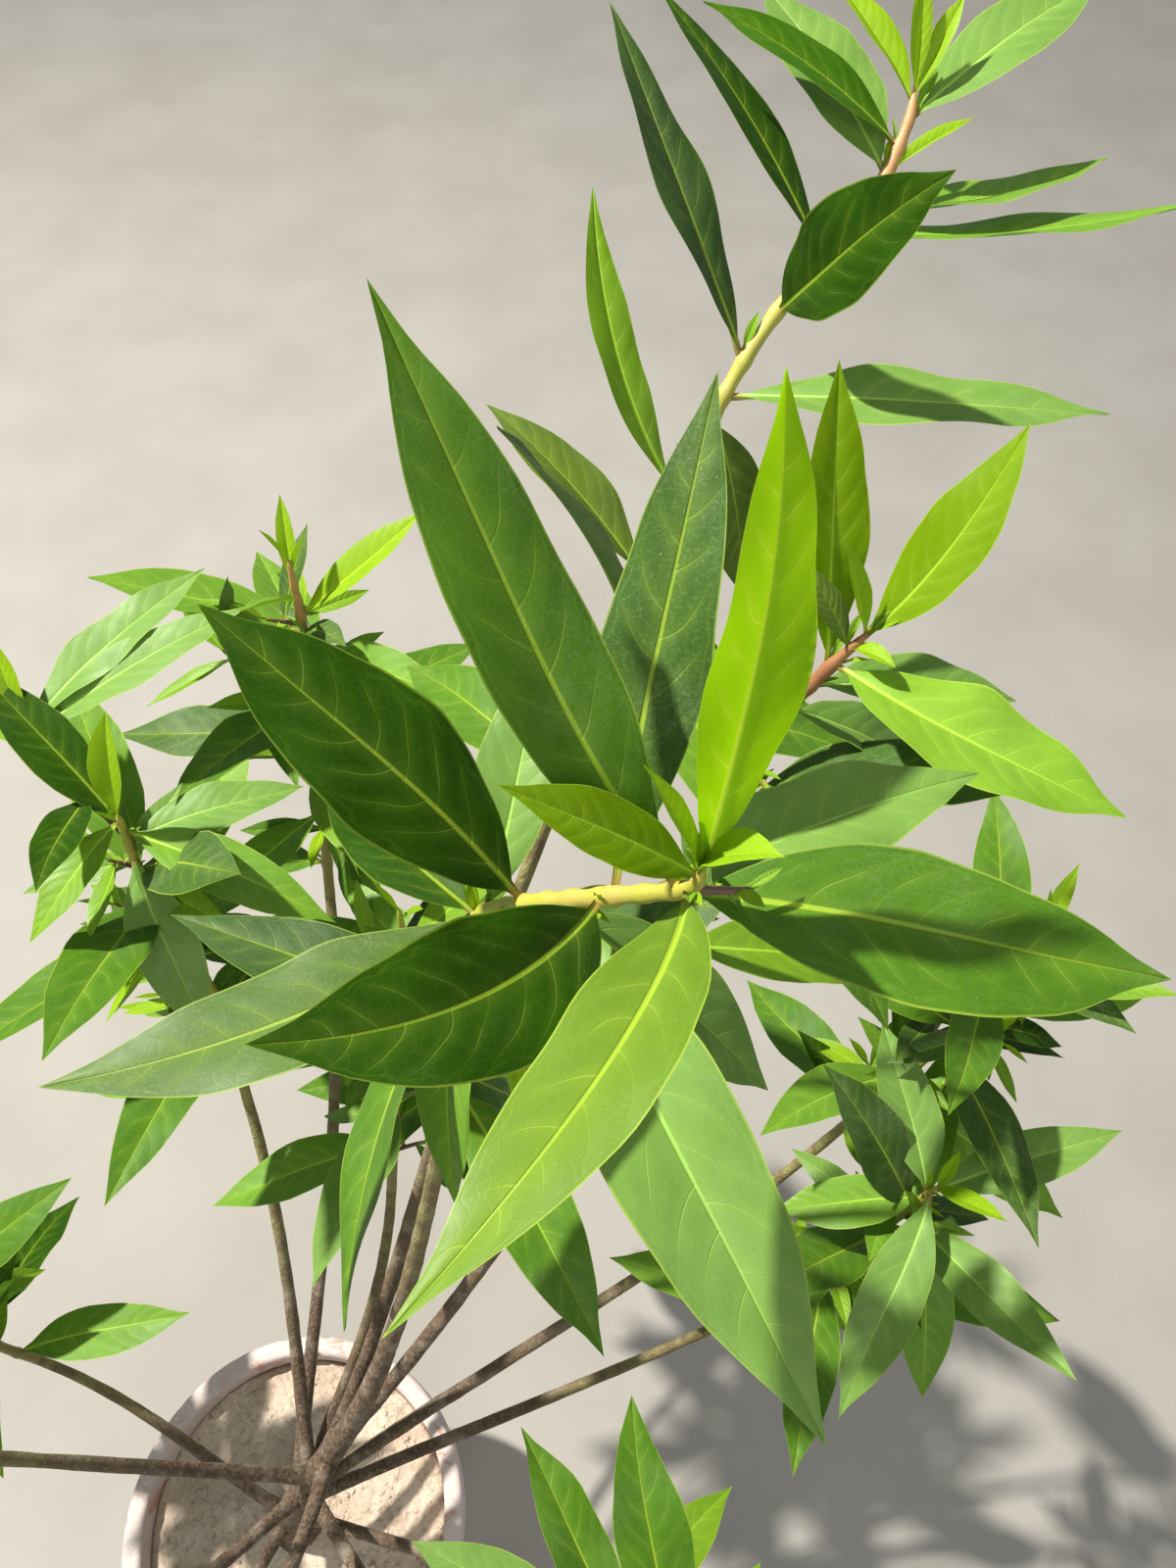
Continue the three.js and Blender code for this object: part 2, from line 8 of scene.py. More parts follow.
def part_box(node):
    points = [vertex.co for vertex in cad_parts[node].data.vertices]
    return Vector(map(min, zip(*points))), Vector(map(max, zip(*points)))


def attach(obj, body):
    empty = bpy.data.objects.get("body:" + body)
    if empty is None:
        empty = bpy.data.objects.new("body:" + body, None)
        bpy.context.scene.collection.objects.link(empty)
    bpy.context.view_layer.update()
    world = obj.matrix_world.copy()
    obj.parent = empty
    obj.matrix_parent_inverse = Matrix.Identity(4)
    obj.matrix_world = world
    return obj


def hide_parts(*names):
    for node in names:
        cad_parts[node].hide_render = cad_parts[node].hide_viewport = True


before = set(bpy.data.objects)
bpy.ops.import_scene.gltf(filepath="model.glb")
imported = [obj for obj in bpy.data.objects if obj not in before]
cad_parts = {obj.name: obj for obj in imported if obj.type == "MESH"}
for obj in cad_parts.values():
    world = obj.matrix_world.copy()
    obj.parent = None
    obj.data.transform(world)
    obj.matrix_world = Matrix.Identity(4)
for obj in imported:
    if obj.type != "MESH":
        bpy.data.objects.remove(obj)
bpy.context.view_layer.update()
scene = bpy.context.scene
scene.view_settings.view_transform = "Standard"
mm = 0.001

# Camera and light

view = {"place": (0.218, 0.002, 1.22), "downward": 57, "lens": 26, "sensor": 36, "near": 0.01, "far": 60}
lights = {
    "keyLight": {"toward": (-0.5, 0.28, 0.82), "far": 3.4, "size": 0.12, "power": 255,
                 "colour": (1.0, 0.965, 0.89)},
    "fillLight": {"toward": (0.1, -0.75, 0.65), "far": 3.0, "size": 2.0, "power": 30,
                  "colour": (1.0, 0.98, 0.94)},
}
sky = {"colour": (0.9, 0.94, 1.0), "strength": 0.34, "lightTarget": (0.1, 0.08, 0.8)}


def addPiece(name, data):
    piece = bpy.data.objects.new(name, data)
    scene.collection.objects.link(piece)
    return piece


def makeCamera():
    lens = bpy.data.cameras.new("camera")
    lens.lens = view["lens"]
    lens.sensor_width = view["sensor"]
    lens.clip_start = view["near"]
    lens.clip_end = view["far"]
    camera = addPiece("camera", lens)
    camera.location = view["place"]
    camera.rotation_euler = (math.radians(90 - view["downward"]), 0, 0)
    scene.camera = camera


def makeLight():
    for name, lit in lights.items():
        lamp = bpy.data.lights.new(name, "AREA")
        lamp.shape = "DISK"
        lamp.size = lit["size"]
        lamp.energy = lit["power"]
        lamp.color = lit["colour"]
        piece = addPiece(name, lamp)
        away = Vector(lit["toward"]).normalized()
        piece.location = Vector(sky["lightTarget"]) + away * lit["far"]
        piece.rotation_euler = away.to_track_quat("Z", "Y").to_euler()
    scene.world = bpy.data.worlds.new("sky")
    scene.world.use_nodes = True
    background = scene.world.node_tree.nodes["Background"]
    background.inputs["Color"].default_value = (*sky["colour"], 1)
    background.inputs["Strength"].default_value = sky["strength"]


# Node trees: a wire is a node's output that can stand in a formula.
# Its brackets give the node's other outputs.

class Wire:
    def __init__(self, socket):
        self.socket = socket
        self.tree = socket.id_data

    def __getitem__(self, key):
        return Wire(self.socket.node.outputs[key])

    def __add__(self, other):
        return calc("ADD", self, other)

    def __sub__(self, other):
        return calc("SUBTRACT", self, other)

    def __rsub__(self, other):
        return calc("SUBTRACT", other, self)

    def __mul__(self, other):
        return calc("MULTIPLY", self, other)

    def __truediv__(self, other):
        return calc("DIVIDE", self, other)

    def __abs__(self):
        return calc("ABSOLUTE", self)


def feed(socket, value):  # links a wire, or sets a plain value
    if isinstance(value, Wire):
        socket.id_data.links.new(value.socket, socket)
    else:
        socket.default_value = (*value, 1) if socket.type == "RGBA" else value


def put(tree, kind, inputs=None, **settings):
    made = tree.nodes.new(kind)
    for name, value in settings.items():
        setattr(made, name, value)
    for key, value in (inputs or {}).items():
        feed(made.inputs[key], value)
    return Wire(made.outputs[0])


def calc(operation, *values):
    tree = next(value.tree for value in values if isinstance(value, Wire))
    return put(tree, "ShaderNodeMath", dict(enumerate(values)), operation=operation)


def join(x, y, z):
    return put(x.tree, "ShaderNodeCombineXYZ", {0: x, 1: y, 2: z})


def attribute(tree, name):
    return put(tree, "ShaderNodeAttribute", attribute_name=name)["Fac"]


def stretched(place, scale):
    return put(place.tree, "ShaderNodeMapping", {"Vector": place, "Scale": scale})


def ramp(value, low, high, bottom=0.0, top=1.0):  # a smooth step from bottom to top
    reach = {"Value": value, "From Min": low, "From Max": high, "To Min": bottom, "To Max": top}
    return put(value.tree, "ShaderNodeMapRange", reach, interpolation_type="SMOOTHSTEP")


def noiseAt(place, scale, detail=2.0, roughness=0.5, distortion=0.0):
    return put(place.tree, "ShaderNodeTexNoise", {"Vector": place, "Scale": scale, "Detail": detail,
                                                  "Roughness": roughness, "Distortion": distortion})


def patches(place, scale, detail, low, high, roughness=0.5, distortion=0.0):  # noise cut to soft patches
    return ramp(noiseAt(place, scale, detail, roughness, distortion), low, high)


def mixColour(share, a, b):
    return put(share.tree, "ShaderNodeMix", {0: share, 6: a, 7: b}, data_type="RGBA")[2]


def coat(skin, *layers):  # each layer: its mask, strength and colour
    for mask, strength, colour in layers:
        skin = mixColour(mask * strength, skin, colour)
    return skin


def openGroup(name, inputs):  # an input with a number is a value, and one without is a vector
    tree = bpy.data.node_groups.new(name, "ShaderNodeTree")
    for label, value in inputs.items():
        kind = "NodeSocketVector" if value is None else "NodeSocketFloat"
        socket = tree.interface.new_socket(label, in_out="INPUT", socket_type=kind)
        if value is not None:
            socket.default_value = value
    return Wire(tree.nodes.new("NodeGroupInput").outputs[0])


def closeGroup(tree, results):
    for label in results:
        tree.interface.new_socket(label, in_out="OUTPUT", socket_type="NodeSocketFloat")
    end = tree.nodes.new("NodeGroupOutput")
    for label, wire in results.items():
        feed(end.inputs[label], wire)
    return tree


def fromGroup(tree, name, **values):
    return put(tree, "ShaderNodeGroup", values, node_tree=groups[name])


def openMaterial(name):
    material = bpy.data.materials.new(name)
    material.use_nodes = True
    material.node_tree.nodes.clear()
    return material, put(material.node_tree, "ShaderNodeTexCoord")["Object"]


def closeMaterial(material, surface):
    feed(material.node_tree.nodes.new("ShaderNodeOutputMaterial").inputs[0], surface)
    return material


def bumpFrom(height, strength, depth):
    return put(height.tree, "ShaderNodeBump", {"Strength": strength, "Distance": depth, "Height": height})


def surfaceOf(skin, roughness, normal, more=None):
    look = {"Base Color": skin, "Roughness": roughness, "Normal": normal, **(more or {})}
    return put(skin.tree, "ShaderNodeBsdfPrincipled", look)


# Shared effects: fine dust, and a grain of pits and lumps

dustShape = {"patches": (0.42, 0.72), "film": (0.35, 0.8), "specks": (0.745, 0.78), "speckScale": 1.3,
             "speckShow": 1.8}
grainShape = {"fineScale": 5, "pits": (0.36, 0.3), "fineShow": 0.3, "pitDepth": 0.2}


def makeDustGroup():
    given = openGroup("dust", {"Place": None, "Patches": 30.0, "Specks": 900.0, "Amount": 0.3})
    place = given["Place"]
    veil = ramp(noiseAt(place, given["Patches"], 3), *dustShape["patches"])
    film = ramp(noiseAt(place, given["Specks"], 2, 0.7), *dustShape["film"])
    specks = ramp(noiseAt(place, given["Specks"] * dustShape["speckScale"], 1), *dustShape["specks"])
    return closeGroup(given.tree, {"Mask": (veil * film + specks * dustShape["speckShow"]) * given["Amount"]})


def makeGrainGroup():
    given = openGroup("grain", {"Place": None, "Scale": 200.0})
    coarse = noiseAt(given["Place"], given["Scale"], 6, 0.62)
    fine = noiseAt(given["Place"], given["Scale"] * grainShape["fineScale"], 3, 0.6)
    pits = ramp(fine, *grainShape["pits"])
    height = coarse + fine * grainShape["fineShow"] - pits * grainShape["pitDepth"]
    return closeGroup(given.tree, {"Height": height, "Pits": pits})


# Leaf veins: distances are in millimetres on the leaf, from its own map and measures

veins = {"ribFoot": 0.78, "ribTip": 0.14, "ribEdge": (1.35, 0.6), "ribEnd": 0.4, "pairs": 9.5,
         "slant": 0.5, "arch": 0.9, "width": 0.27, "sides": (1.9, 0.3), "wander": 1.0, "apart": 0.8,
         "fade": (0.94, 0.5), "halo": 0.26, "haloReach": 0.3, "loopAt": 0.86, "loopSwing": 0.035,
         "loopWide": 0.045, "loopShow": 0.22, "leastSeen": 0.3, "seen": (0.34, 0.62), "netScale": 0.34,
         "netWide": (0.07, 0.01), "foot": (0.05, 0.12), "margin": (0.955, 0.985), "stalk": (0.075, 0.03),
         "nearRib": 5.0, "usual": 100, "footFade": (0.05, 0.1), "tipFade": (0.97, 0.85),
         "loopFrom": (0.12, 0.3),
         "depths": {"laterals": -0.45, "net": -0.05, "rib": -0.8, "pillow": 0.9}}


def makeVeinGroup():
    tree, deep = openGroup("leafVeins", {}).tree, veins["depths"]
    leafMap = put(tree, "ShaderNodeSeparateXYZ", {0: put(tree, "ShaderNodeUVMap", uv_map="leafMap")})
    u, v = leafMap[0], leafMap[1]
    half, long, draw = (attribute(tree, name) for name in ("halfWide", "leafLong", "leafDraw"))
    signed = u * 2 - 1
    edge = abs(signed)
    off = edge * half
    along = v * long
    grown = calc("MINIMUM", long / veins["usual"], 1)
    ribHalf = ((1 - v) * veins["ribFoot"] + veins["ribTip"]) * grown
    rib = ramp(off, *(ribHalf * part for part in veins["ribEdge"]))
    spacing = long / veins["pairs"]
    bend = off * (edge * veins["arch"] + veins["slant"])
    side = calc("GREATER_THAN", signed, 0)
    wander = noiseAt(join(v * 6, side, draw * 50), 1.0, 1) * veins["wander"]
    seen = ramp(noiseAt(join(u * 2.5, v * 7, draw * 40), 1.0, 1), *veins["seen"], veins["leastSeen"])
    phase = (along - bend) / spacing + side * 0.5 + wander
    apart = (0.5 - abs(calc("FRACT", phase) - 0.5)) * (spacing * veins["apart"])
    wide = (edge * -0.5 + 1) * veins["width"] * grown
    laterals = ramp(apart, *(wide * part for part in veins["sides"]))
    halo = ramp(apart, spacing * veins["haloReach"], 0.0) * veins["halo"]
    fade = ramp(edge, *veins["fade"]) * ramp(v, *veins["footFade"]) * ramp(v, *veins["tipFade"])
    laterals = calc("MAXIMUM", laterals, halo) * fade
    loopEdge = calc("COSINE", phase * (2 * math.pi)) * veins["loopSwing"] + veins["loopAt"]
    loops = ramp(abs(edge - loopEdge), veins["loopWide"], 0.0) * ramp(v, *veins["loopFrom"])
    loops = loops * veins["loopShow"]
    laterals = calc("MAXIMUM", laterals, loops) * seen
    cells = put(tree, "ShaderNodeTexVoronoi", {"Vector": join(signed * half, along, draw * 90),
                                               "Scale": veins["netScale"]}, feature="DISTANCE_TO_EDGE")
    foot = ramp(v, *veins["foot"])
    net = ramp(cells, *veins["netWide"]) * foot
    pillow = calc("MINIMUM", apart / spacing, 0.5)
    height = laterals * deep["laterals"] + net * deep["net"] + rib * deep["rib"] + pillow * deep["pillow"]
    return closeGroup(tree, {
        "Rib": rib * ramp(v, 1.0, 0.2, veins["ribEnd"]), "Laterals": laterals, "Net": net, "Height": height,
        "Margin": ramp(edge, *veins["margin"]) * foot, "Stalk": ramp(v, *veins["stalk"]),
        "Near rib": ramp(off, veins["nearRib"], 0.0)})


# Leaf colours: each tone is dealt out leaf by leaf. Most are the colour of one kind of leaf, but some are
# lit or shaded copies: 'sunlit' and 'glowing' are painted light, 'shade' is painted shade, and 'deep' and 'slate'
# are partly painted shade. A tone has the colours of the blade, of its older part, of the underside and of the
# light through it, and then how much light comes through, and the amounts of dust, roughness, gloss and lines.

toneKeys = ("blade", "dark", "under", "glow", "through", "dust", "rough", "gloss", "lines")
toneRows = {
    "lime": ((0.33, 0.52, 0.01), (0.24, 0.43, 0.008), (0.32, 0.48, 0.05), (0.6, 0.8, 0.012),
             0.44, 0.12, 0.42, 0.3, 0.7),
    # 'glowing' is partly painted light: a brighter copy of the leaf colour for the leaf lit from behind
    "glowing": ((0.29, 0.53, 0.004), (0.23, 0.44, 0.003), (0.34, 0.54, 0.03), (0.71, 0.95, 0.005),
                0.58, 0.25, 0.44, 0.2, 1.0),
    "bright": ((0.23, 0.41, 0.016), (0.17, 0.33, 0.012), (0.26, 0.42, 0.05), (0.44, 0.7, 0.012),
               0.38, 0.3, 0.4, 0.42, 0.9),
    "fresh": ((0.195, 0.385, 0.03), (0.13, 0.29, 0.021), (0.2, 0.36, 0.05), (0.32, 0.6, 0.02),
              0.32, 0.3, 0.4, 0.4, 0.85),
    # 'sunlit' is painted light: a brighter copy of the leaf colour for a leaf in full light
    "sunlit": ((0.265, 0.475, 0.034), (0.19, 0.365, 0.025), (0.28, 0.44, 0.06), (0.5, 0.76, 0.02),
               0.38, 0.3, 0.4, 0.42, 0.9),
    "spring": ((0.21, 0.345, 0.002), (0.175, 0.3, 0.002), (0.26, 0.4, 0.02), (0.46, 0.7, 0.004),
               0.42, 0.08, 0.44, 0.1, 0.8),
    "soft": ((0.17, 0.295, 0.024), (0.145, 0.265, 0.02), (0.2, 0.34, 0.06), (0.34, 0.56, 0.03),
             0.32, 0.3, 0.42, 0.35, 0.8),
    # 'shade' is painted shade: a darker copy of the leaf colour for a leaf out of the light
    "shade": ((0.052, 0.165, 0.003), (0.04, 0.13, 0.002), (0.1, 0.24, 0.02), (0.16, 0.44, 0.006),
              0.26, 0.1, 0.44, 0.12, 0.45),
    "mature": ((0.105, 0.245, 0.012), (0.062, 0.165, 0.008), (0.14, 0.29, 0.045), (0.2, 0.48, 0.015),
               0.27, 0.4, 0.42, 0.3, 0.6),
    # 'deep' is a dark green that also serves as painted shade for listed leaves lying in shade
    "deep": ((0.028, 0.088, 0.002), (0.017, 0.06, 0.002), (0.09, 0.2, 0.03), (0.12, 0.36, 0.004),
             0.22, 0.1, 0.42, 0.1, 0.36),
    # 'slate' is a darker, bluish copy of 'mature', partly painted shade
    "slate": ((0.052, 0.116, 0.023), (0.034, 0.084, 0.016), (0.11, 0.2, 0.06), (0.14, 0.32, 0.03),
              0.2, 0.5, 0.44, 0.34, 0.45),
    "dusty": ((0.058, 0.135, 0.017), (0.04, 0.1, 0.012), (0.15, 0.26, 0.07), (0.2, 0.4, 0.04),
              0.24, 0.9, 0.5, 0.3, 0.6),
    "misty": ((0.098, 0.182, 0.034), (0.078, 0.15, 0.026), (0.18, 0.3, 0.08), (0.26, 0.46, 0.05),
              0.28, 0.7, 0.44, 0.4, 0.6),
    "pale": ((0.215, 0.385, 0.072), (0.155, 0.3, 0.052), (0.24, 0.38, 0.1), (0.36, 0.6, 0.06),
             0.32, 0.4, 0.44, 0.42, 0.7),
    "olive": ((0.15, 0.24, 0.026), (0.1, 0.175, 0.018), (0.17, 0.26, 0.05), (0.28, 0.42, 0.02),
              0.28, 0.45, 0.46, 0.3, 0.6),
}
leafTones = {name: dict(zip(toneKeys, row)) for name, row in toneRows.items()}
leafFinish = {"rib": (0.45, 0.64, 0.05), "lateral": (0.39, 0.57, 0.06), "margin": (0.44, 0.58, 0.07),
              "stalk": (0.40, 0.2, 0.08), "dustColour": (0.56, 0.56, 0.48), "ribGlow": (1.0, 1.0, 0.42),
              "show": {"Near rib": 0.6, "Net": 0.1, "Laterals": 0.8, "Margin": 0.85}, "veinPale": 0.66,
              "haloPale": 0.25, "palest": 0.88, "stalkShow": 0.75, "dustShow": 0.3,
              "dust": {"Patches": 38.0, "Specks": 1100.0},
              "blotches": (70, 3, 0.35, 0.68, 0.6), "stipple": (1300.0, 2, 0.5, 0.68, 0.6),
              "stippleShow": 0.13, "stippleColour": (0.42, 0.56, 0.26), "bump": 0.85, "bumpDepth": 0.0004,
              "ior": 1.45}


def leafMaterial(name, tone):
    material, place = openMaterial(name)
    tree, look = place.tree, leafFinish
    lines = fromGroup(tree, "veins")
    blotch = patches(place, *look["blotches"])
    older = calc("MINIMUM", attribute(tree, "leafDraw") * 0.5 + blotch * 0.5, 1)
    plain = np.array(tone["blade"])
    paler = np.maximum(look["lateral"], plain * 1.6)
    vein, halo = (tuple(blend(plain, paler, look[key]).tolist()) for key in ("veinPale", "haloPale"))
    ribColour = tuple(np.clip(plain * 2, look["rib"], look["palest"]).tolist())
    blade = mixColour(older, tone["blade"], tone["dark"])
    for (line, show), colour in zip(look["show"].items(), (halo, vein, vein, look["margin"])):
        blade = mixColour(lines[line] * (show * tone["lines"]), blade, colour)
    beneath = mixColour(blotch * 0.25, tone["under"], tone["blade"])
    dust = fromGroup(tree, "dust", Place=place, Amount=tone["dust"], **look["dust"])
    stippled = look["stippleShow"] * (tone["dust"] - 0.08)
    skin = coat(mixColour(attribute(tree, "under"), blade, beneath),
                (patches(place, *look["stipple"]), stippled, look["stippleColour"]),
                (lines["Rib"], tone["lines"] ** 0.7, ribColour),
                (lines["Stalk"], look["stalkShow"], look["stalk"]),
                (dust, look["dustShow"], look["dustColour"]))
    bump = bumpFrom(lines["Height"], look["bump"] * (1 - tone["through"]), look["bumpDepth"])
    surface = surfaceOf(skin, dust * 0.25 + tone["rough"] + blotch * 0.08, bump,
                        {"IOR": look["ior"], "Specular IOR Level": tone["gloss"]})
    bright = calc("MAXIMUM", lines["Rib"], lines["Laterals"] * 0.85) * 0.8
    glow = mixColour(bright, tone["glow"], look["ribGlow"])
    through = put(tree, "ShaderNodeBsdfTranslucent", {"Color": glow, "Normal": bump})
    both = put(tree, "ShaderNodeMixShader", {0: tone["through"], 1: surface, 2: through})
    return closeMaterial(material, both)


# How the plant grows, in millimetres: the same lines, leaves and seeded rule as the solids

trunkShape = {"foot": 11, "fork": 7.2, "flare": 6.5, "flareHeight": 9,
              "line": [(0, 0, 200.3), (0, 0, 222), (6, 5, 262), (29, 18, 330), (70, 45, 430)]}
boughShape = {"shortRoot": 4.2, "longRoot": 5.6, "longReach": 700, "tip": 3, "taper": 0.7, "rootRise": 48,
              "rootPull": 0.3, "tipPull": 0.42, "gap": 0.3}
stemShape = {"foot": 3, "neck": 2.2, "tip": 0.9, "neckLong": 30, "taper": 0.6}
twigShape = {"root": 1.5, "tip": 0.7, "sag": 0.06, "youngest": 3, "leafyShare": 0.62}
leafShape = {"long": 114, "slimness": 0.3, "stalkShare": 0.05, "stalkRadius": 1.1, "outline": (0.95, 1.15),
             "broadest": 0.2355}
spiral = {"step": 137.5, "stepJitter": 9, "crowding": 1.3, "youngLeaves": 7, "youngSize": 0.24,
          "youngWidth": 0.78, "youngRise": 72, "grownRise": 38, "droop": 62, "riseJitter": 9,
          "sizes": (0.9, 1.08), "widths": (0.9, 1.1), "arches": (0.02, 0.08), "rollJitter": 16,
          "sweepJitter": 0.03, "uprightShare": 0.85, "lift": 0.08}

# Leaves that the view shows, each with its distance below the tip, turn, rise, length, width, arch, roll,
# tone and sideways sweep
# On the listed leaves the tones 'glowing' and 'sunlit' are painted light, and 'shade', 'deep' and 'slate' are
# painted shade
centreLeaves = [
    (1, 110, 74, 13, 4, 0, 0, "lime"),
    (1.5, 164, 68, 37, 8, 0.02, 0, "lime"),
    (2, -32, 54, 27, 12, 0.12, 0, "lime"),
    (2.5, 79, 69, 104, 23, 0.03, 36, "glowing", 0.02),
    (3.5, 179, 41, 53, 15, 0.04, -12, "spring"),
    (9, -120, 15, 108, 24, 0.09, 14, "soft", -0.1),
    (12, 130, 47, 134, 28, 0.03, 0, "mature", -0.04),
    (15, -7, -8, 114, 35, 0.04, 8, "mature"),
    (23, 25, -7, 95, 27, 0.04, 0, "pale"),
    (34, 75, 47, 116, 26, 0.04, -10, "dusty"),
    (39, -141, 28, 93, 34, 0.04, -16, "deep", -0.11),
    (49, -65, -12, 127, 35, 0.06, 0, "pale", 0.03),
    (59, -24, -44, 92, 28, 0.06, 0, "pale"),
    (70, 149, 37, 107, 37, 0.06, 0, "deep"),
    (80, -154, 5, 118, 31, 0.02, 10, "misty", -0.08),
    (98, 75, 24, 82, 24, 0.05, 0, "pale"),
    (105, 135, -16, 82, 28, 0.06, 0, "deep"),
    (116, -95, -37, 84, 27, 0.08, 40, "fresh"),
    (127, -108, -20, 114, 32, 0.08, 52, "mature"),
    (143, 22, -24, 100, 30, 0.08, 0, "deep"),
    (160, 172, -28, 96, 29, 0.08, 0, "mature"),
]
rightLeaves = [
    (0.5, 6, 40, 17, 6, 0, 0, "lime"),
    (1.5, 135, 64, 31, 9, 0.02, 0, "lime"),
    (2.5, 39, 46, 72, 22, 0.03, 0, "spring", 0.065),
    (8, -49, 21, 17, 8, 0.1, 0, "lime"),
    (8.5, 141, 48, 32, 11, 0.05, 0, "olive"),
    (15, -33, -4, 93, 33, 0.06, 0, "sunlit", 0.07),
    (18, 92, 50, 88, 23, 0.04, 24, "spring", -0.03),
    (26, 5, -13, 72, 23, 0.05, 0, "pale"),
    (38, 2, -38, 76, 24, 0.06, 0, "pale"),
    (52, 118, 4, 94, 29, 0.06, 0, "deep"),
    (66, -58, -30, 98, 30, 0.08, 0, "mature"),
]
farLeaves = [
    (0.5, 93, 60, 34, 8, 0, 0, "lime"),
    (1, 50, 48, 30, 9, 0, 0, "lime"),
    (3, 130, 30, 45, 15, 0.03, 0, "lime"),
    (8, 36, 14, 82, 26, 0.05, 0, "pale"),
    (16, 162, 26, 74, 22, 0.05, 0, "shade"),
    (25, 118, 18, 83, 31, 0.05, 0, "pale"),
    (24, 20, 24, 30, 8, 0.04, 0, "lime"),
    (36, 17, 2, 86, 26, -0.05, -18, "fresh"),
    (44, 3, 3, 113, 30, -0.04, -20, "fresh"),
    (56, 130, 32, 98, 22, 0.04, 20, "deep"),
    (77, -48, 53, 83, 31, 0.05, 75, "deep"),
    (95, 121, 41, 113, 24, 0.04, 24, "slate", -0.05),
    (107, -8, 3, 122, 28, 0.05, 0, "pale", 0.05),
    (114, -58, -64, 68, 26, 0.06, 0, "olive"),
    (143, 113, 44, 101, 16, 0.04, 16, "bright", -0.11),
    (174, 140, 28, 81, 30, 0.05, 20, "olive"),
]
leftLeaves = [
    (1, 71, 66, 54, 20, 0.03, 0, "lime"),
    (4, -118, -9, 63, 21, 0.06, 0, "bright"),
    (7, 138, 29, 92, 27, 0.05, 0, "deep"),
    (12, -20, -12, 104, 29, 0.07, 0, "fresh"),
    (20, 23, -2, 82, 27, 0.06, 0, "pale"),
    (30, -65, -34, 92, 30, 0.08, 0, "pale"),
]
leftTwigLeaves = [
    (1, 50, 9, 110, 27, 0.05, 0, "pale"),
    (4, 33, 10, 112, 28, 0.05, 0, "pale"),
]
lowRightLeaves = [
    (1, 60, 66, 30, 8, 0.02, 0, "lime"),
    (3, -48, 48, 46, 13, 0.03, 0, "lime"),
    (6, -118, -19, 116, 31, 0.06, 0, "pale"),
    (9, 15, 11, 101, 28, 0.06, 0, "pale"),
    (12, 102, 19, 88, 31, 0.06, 0, "pale"),
    (16, -178, -11, 76, 27, 0.06, 0, "fresh"),
    (22, -86, -40, 108, 30, 0.08, 0, "fresh"),
]
lowFrontLeaves = [
    (1, 96, 74, 58, 12, 0.02, 0, "bright"),
    (3, 58, 64, 84, 17, 0.03, 0, "bright"),
    (6, 128, 60, 66, 15, 0.04, 0, "lime"),
]

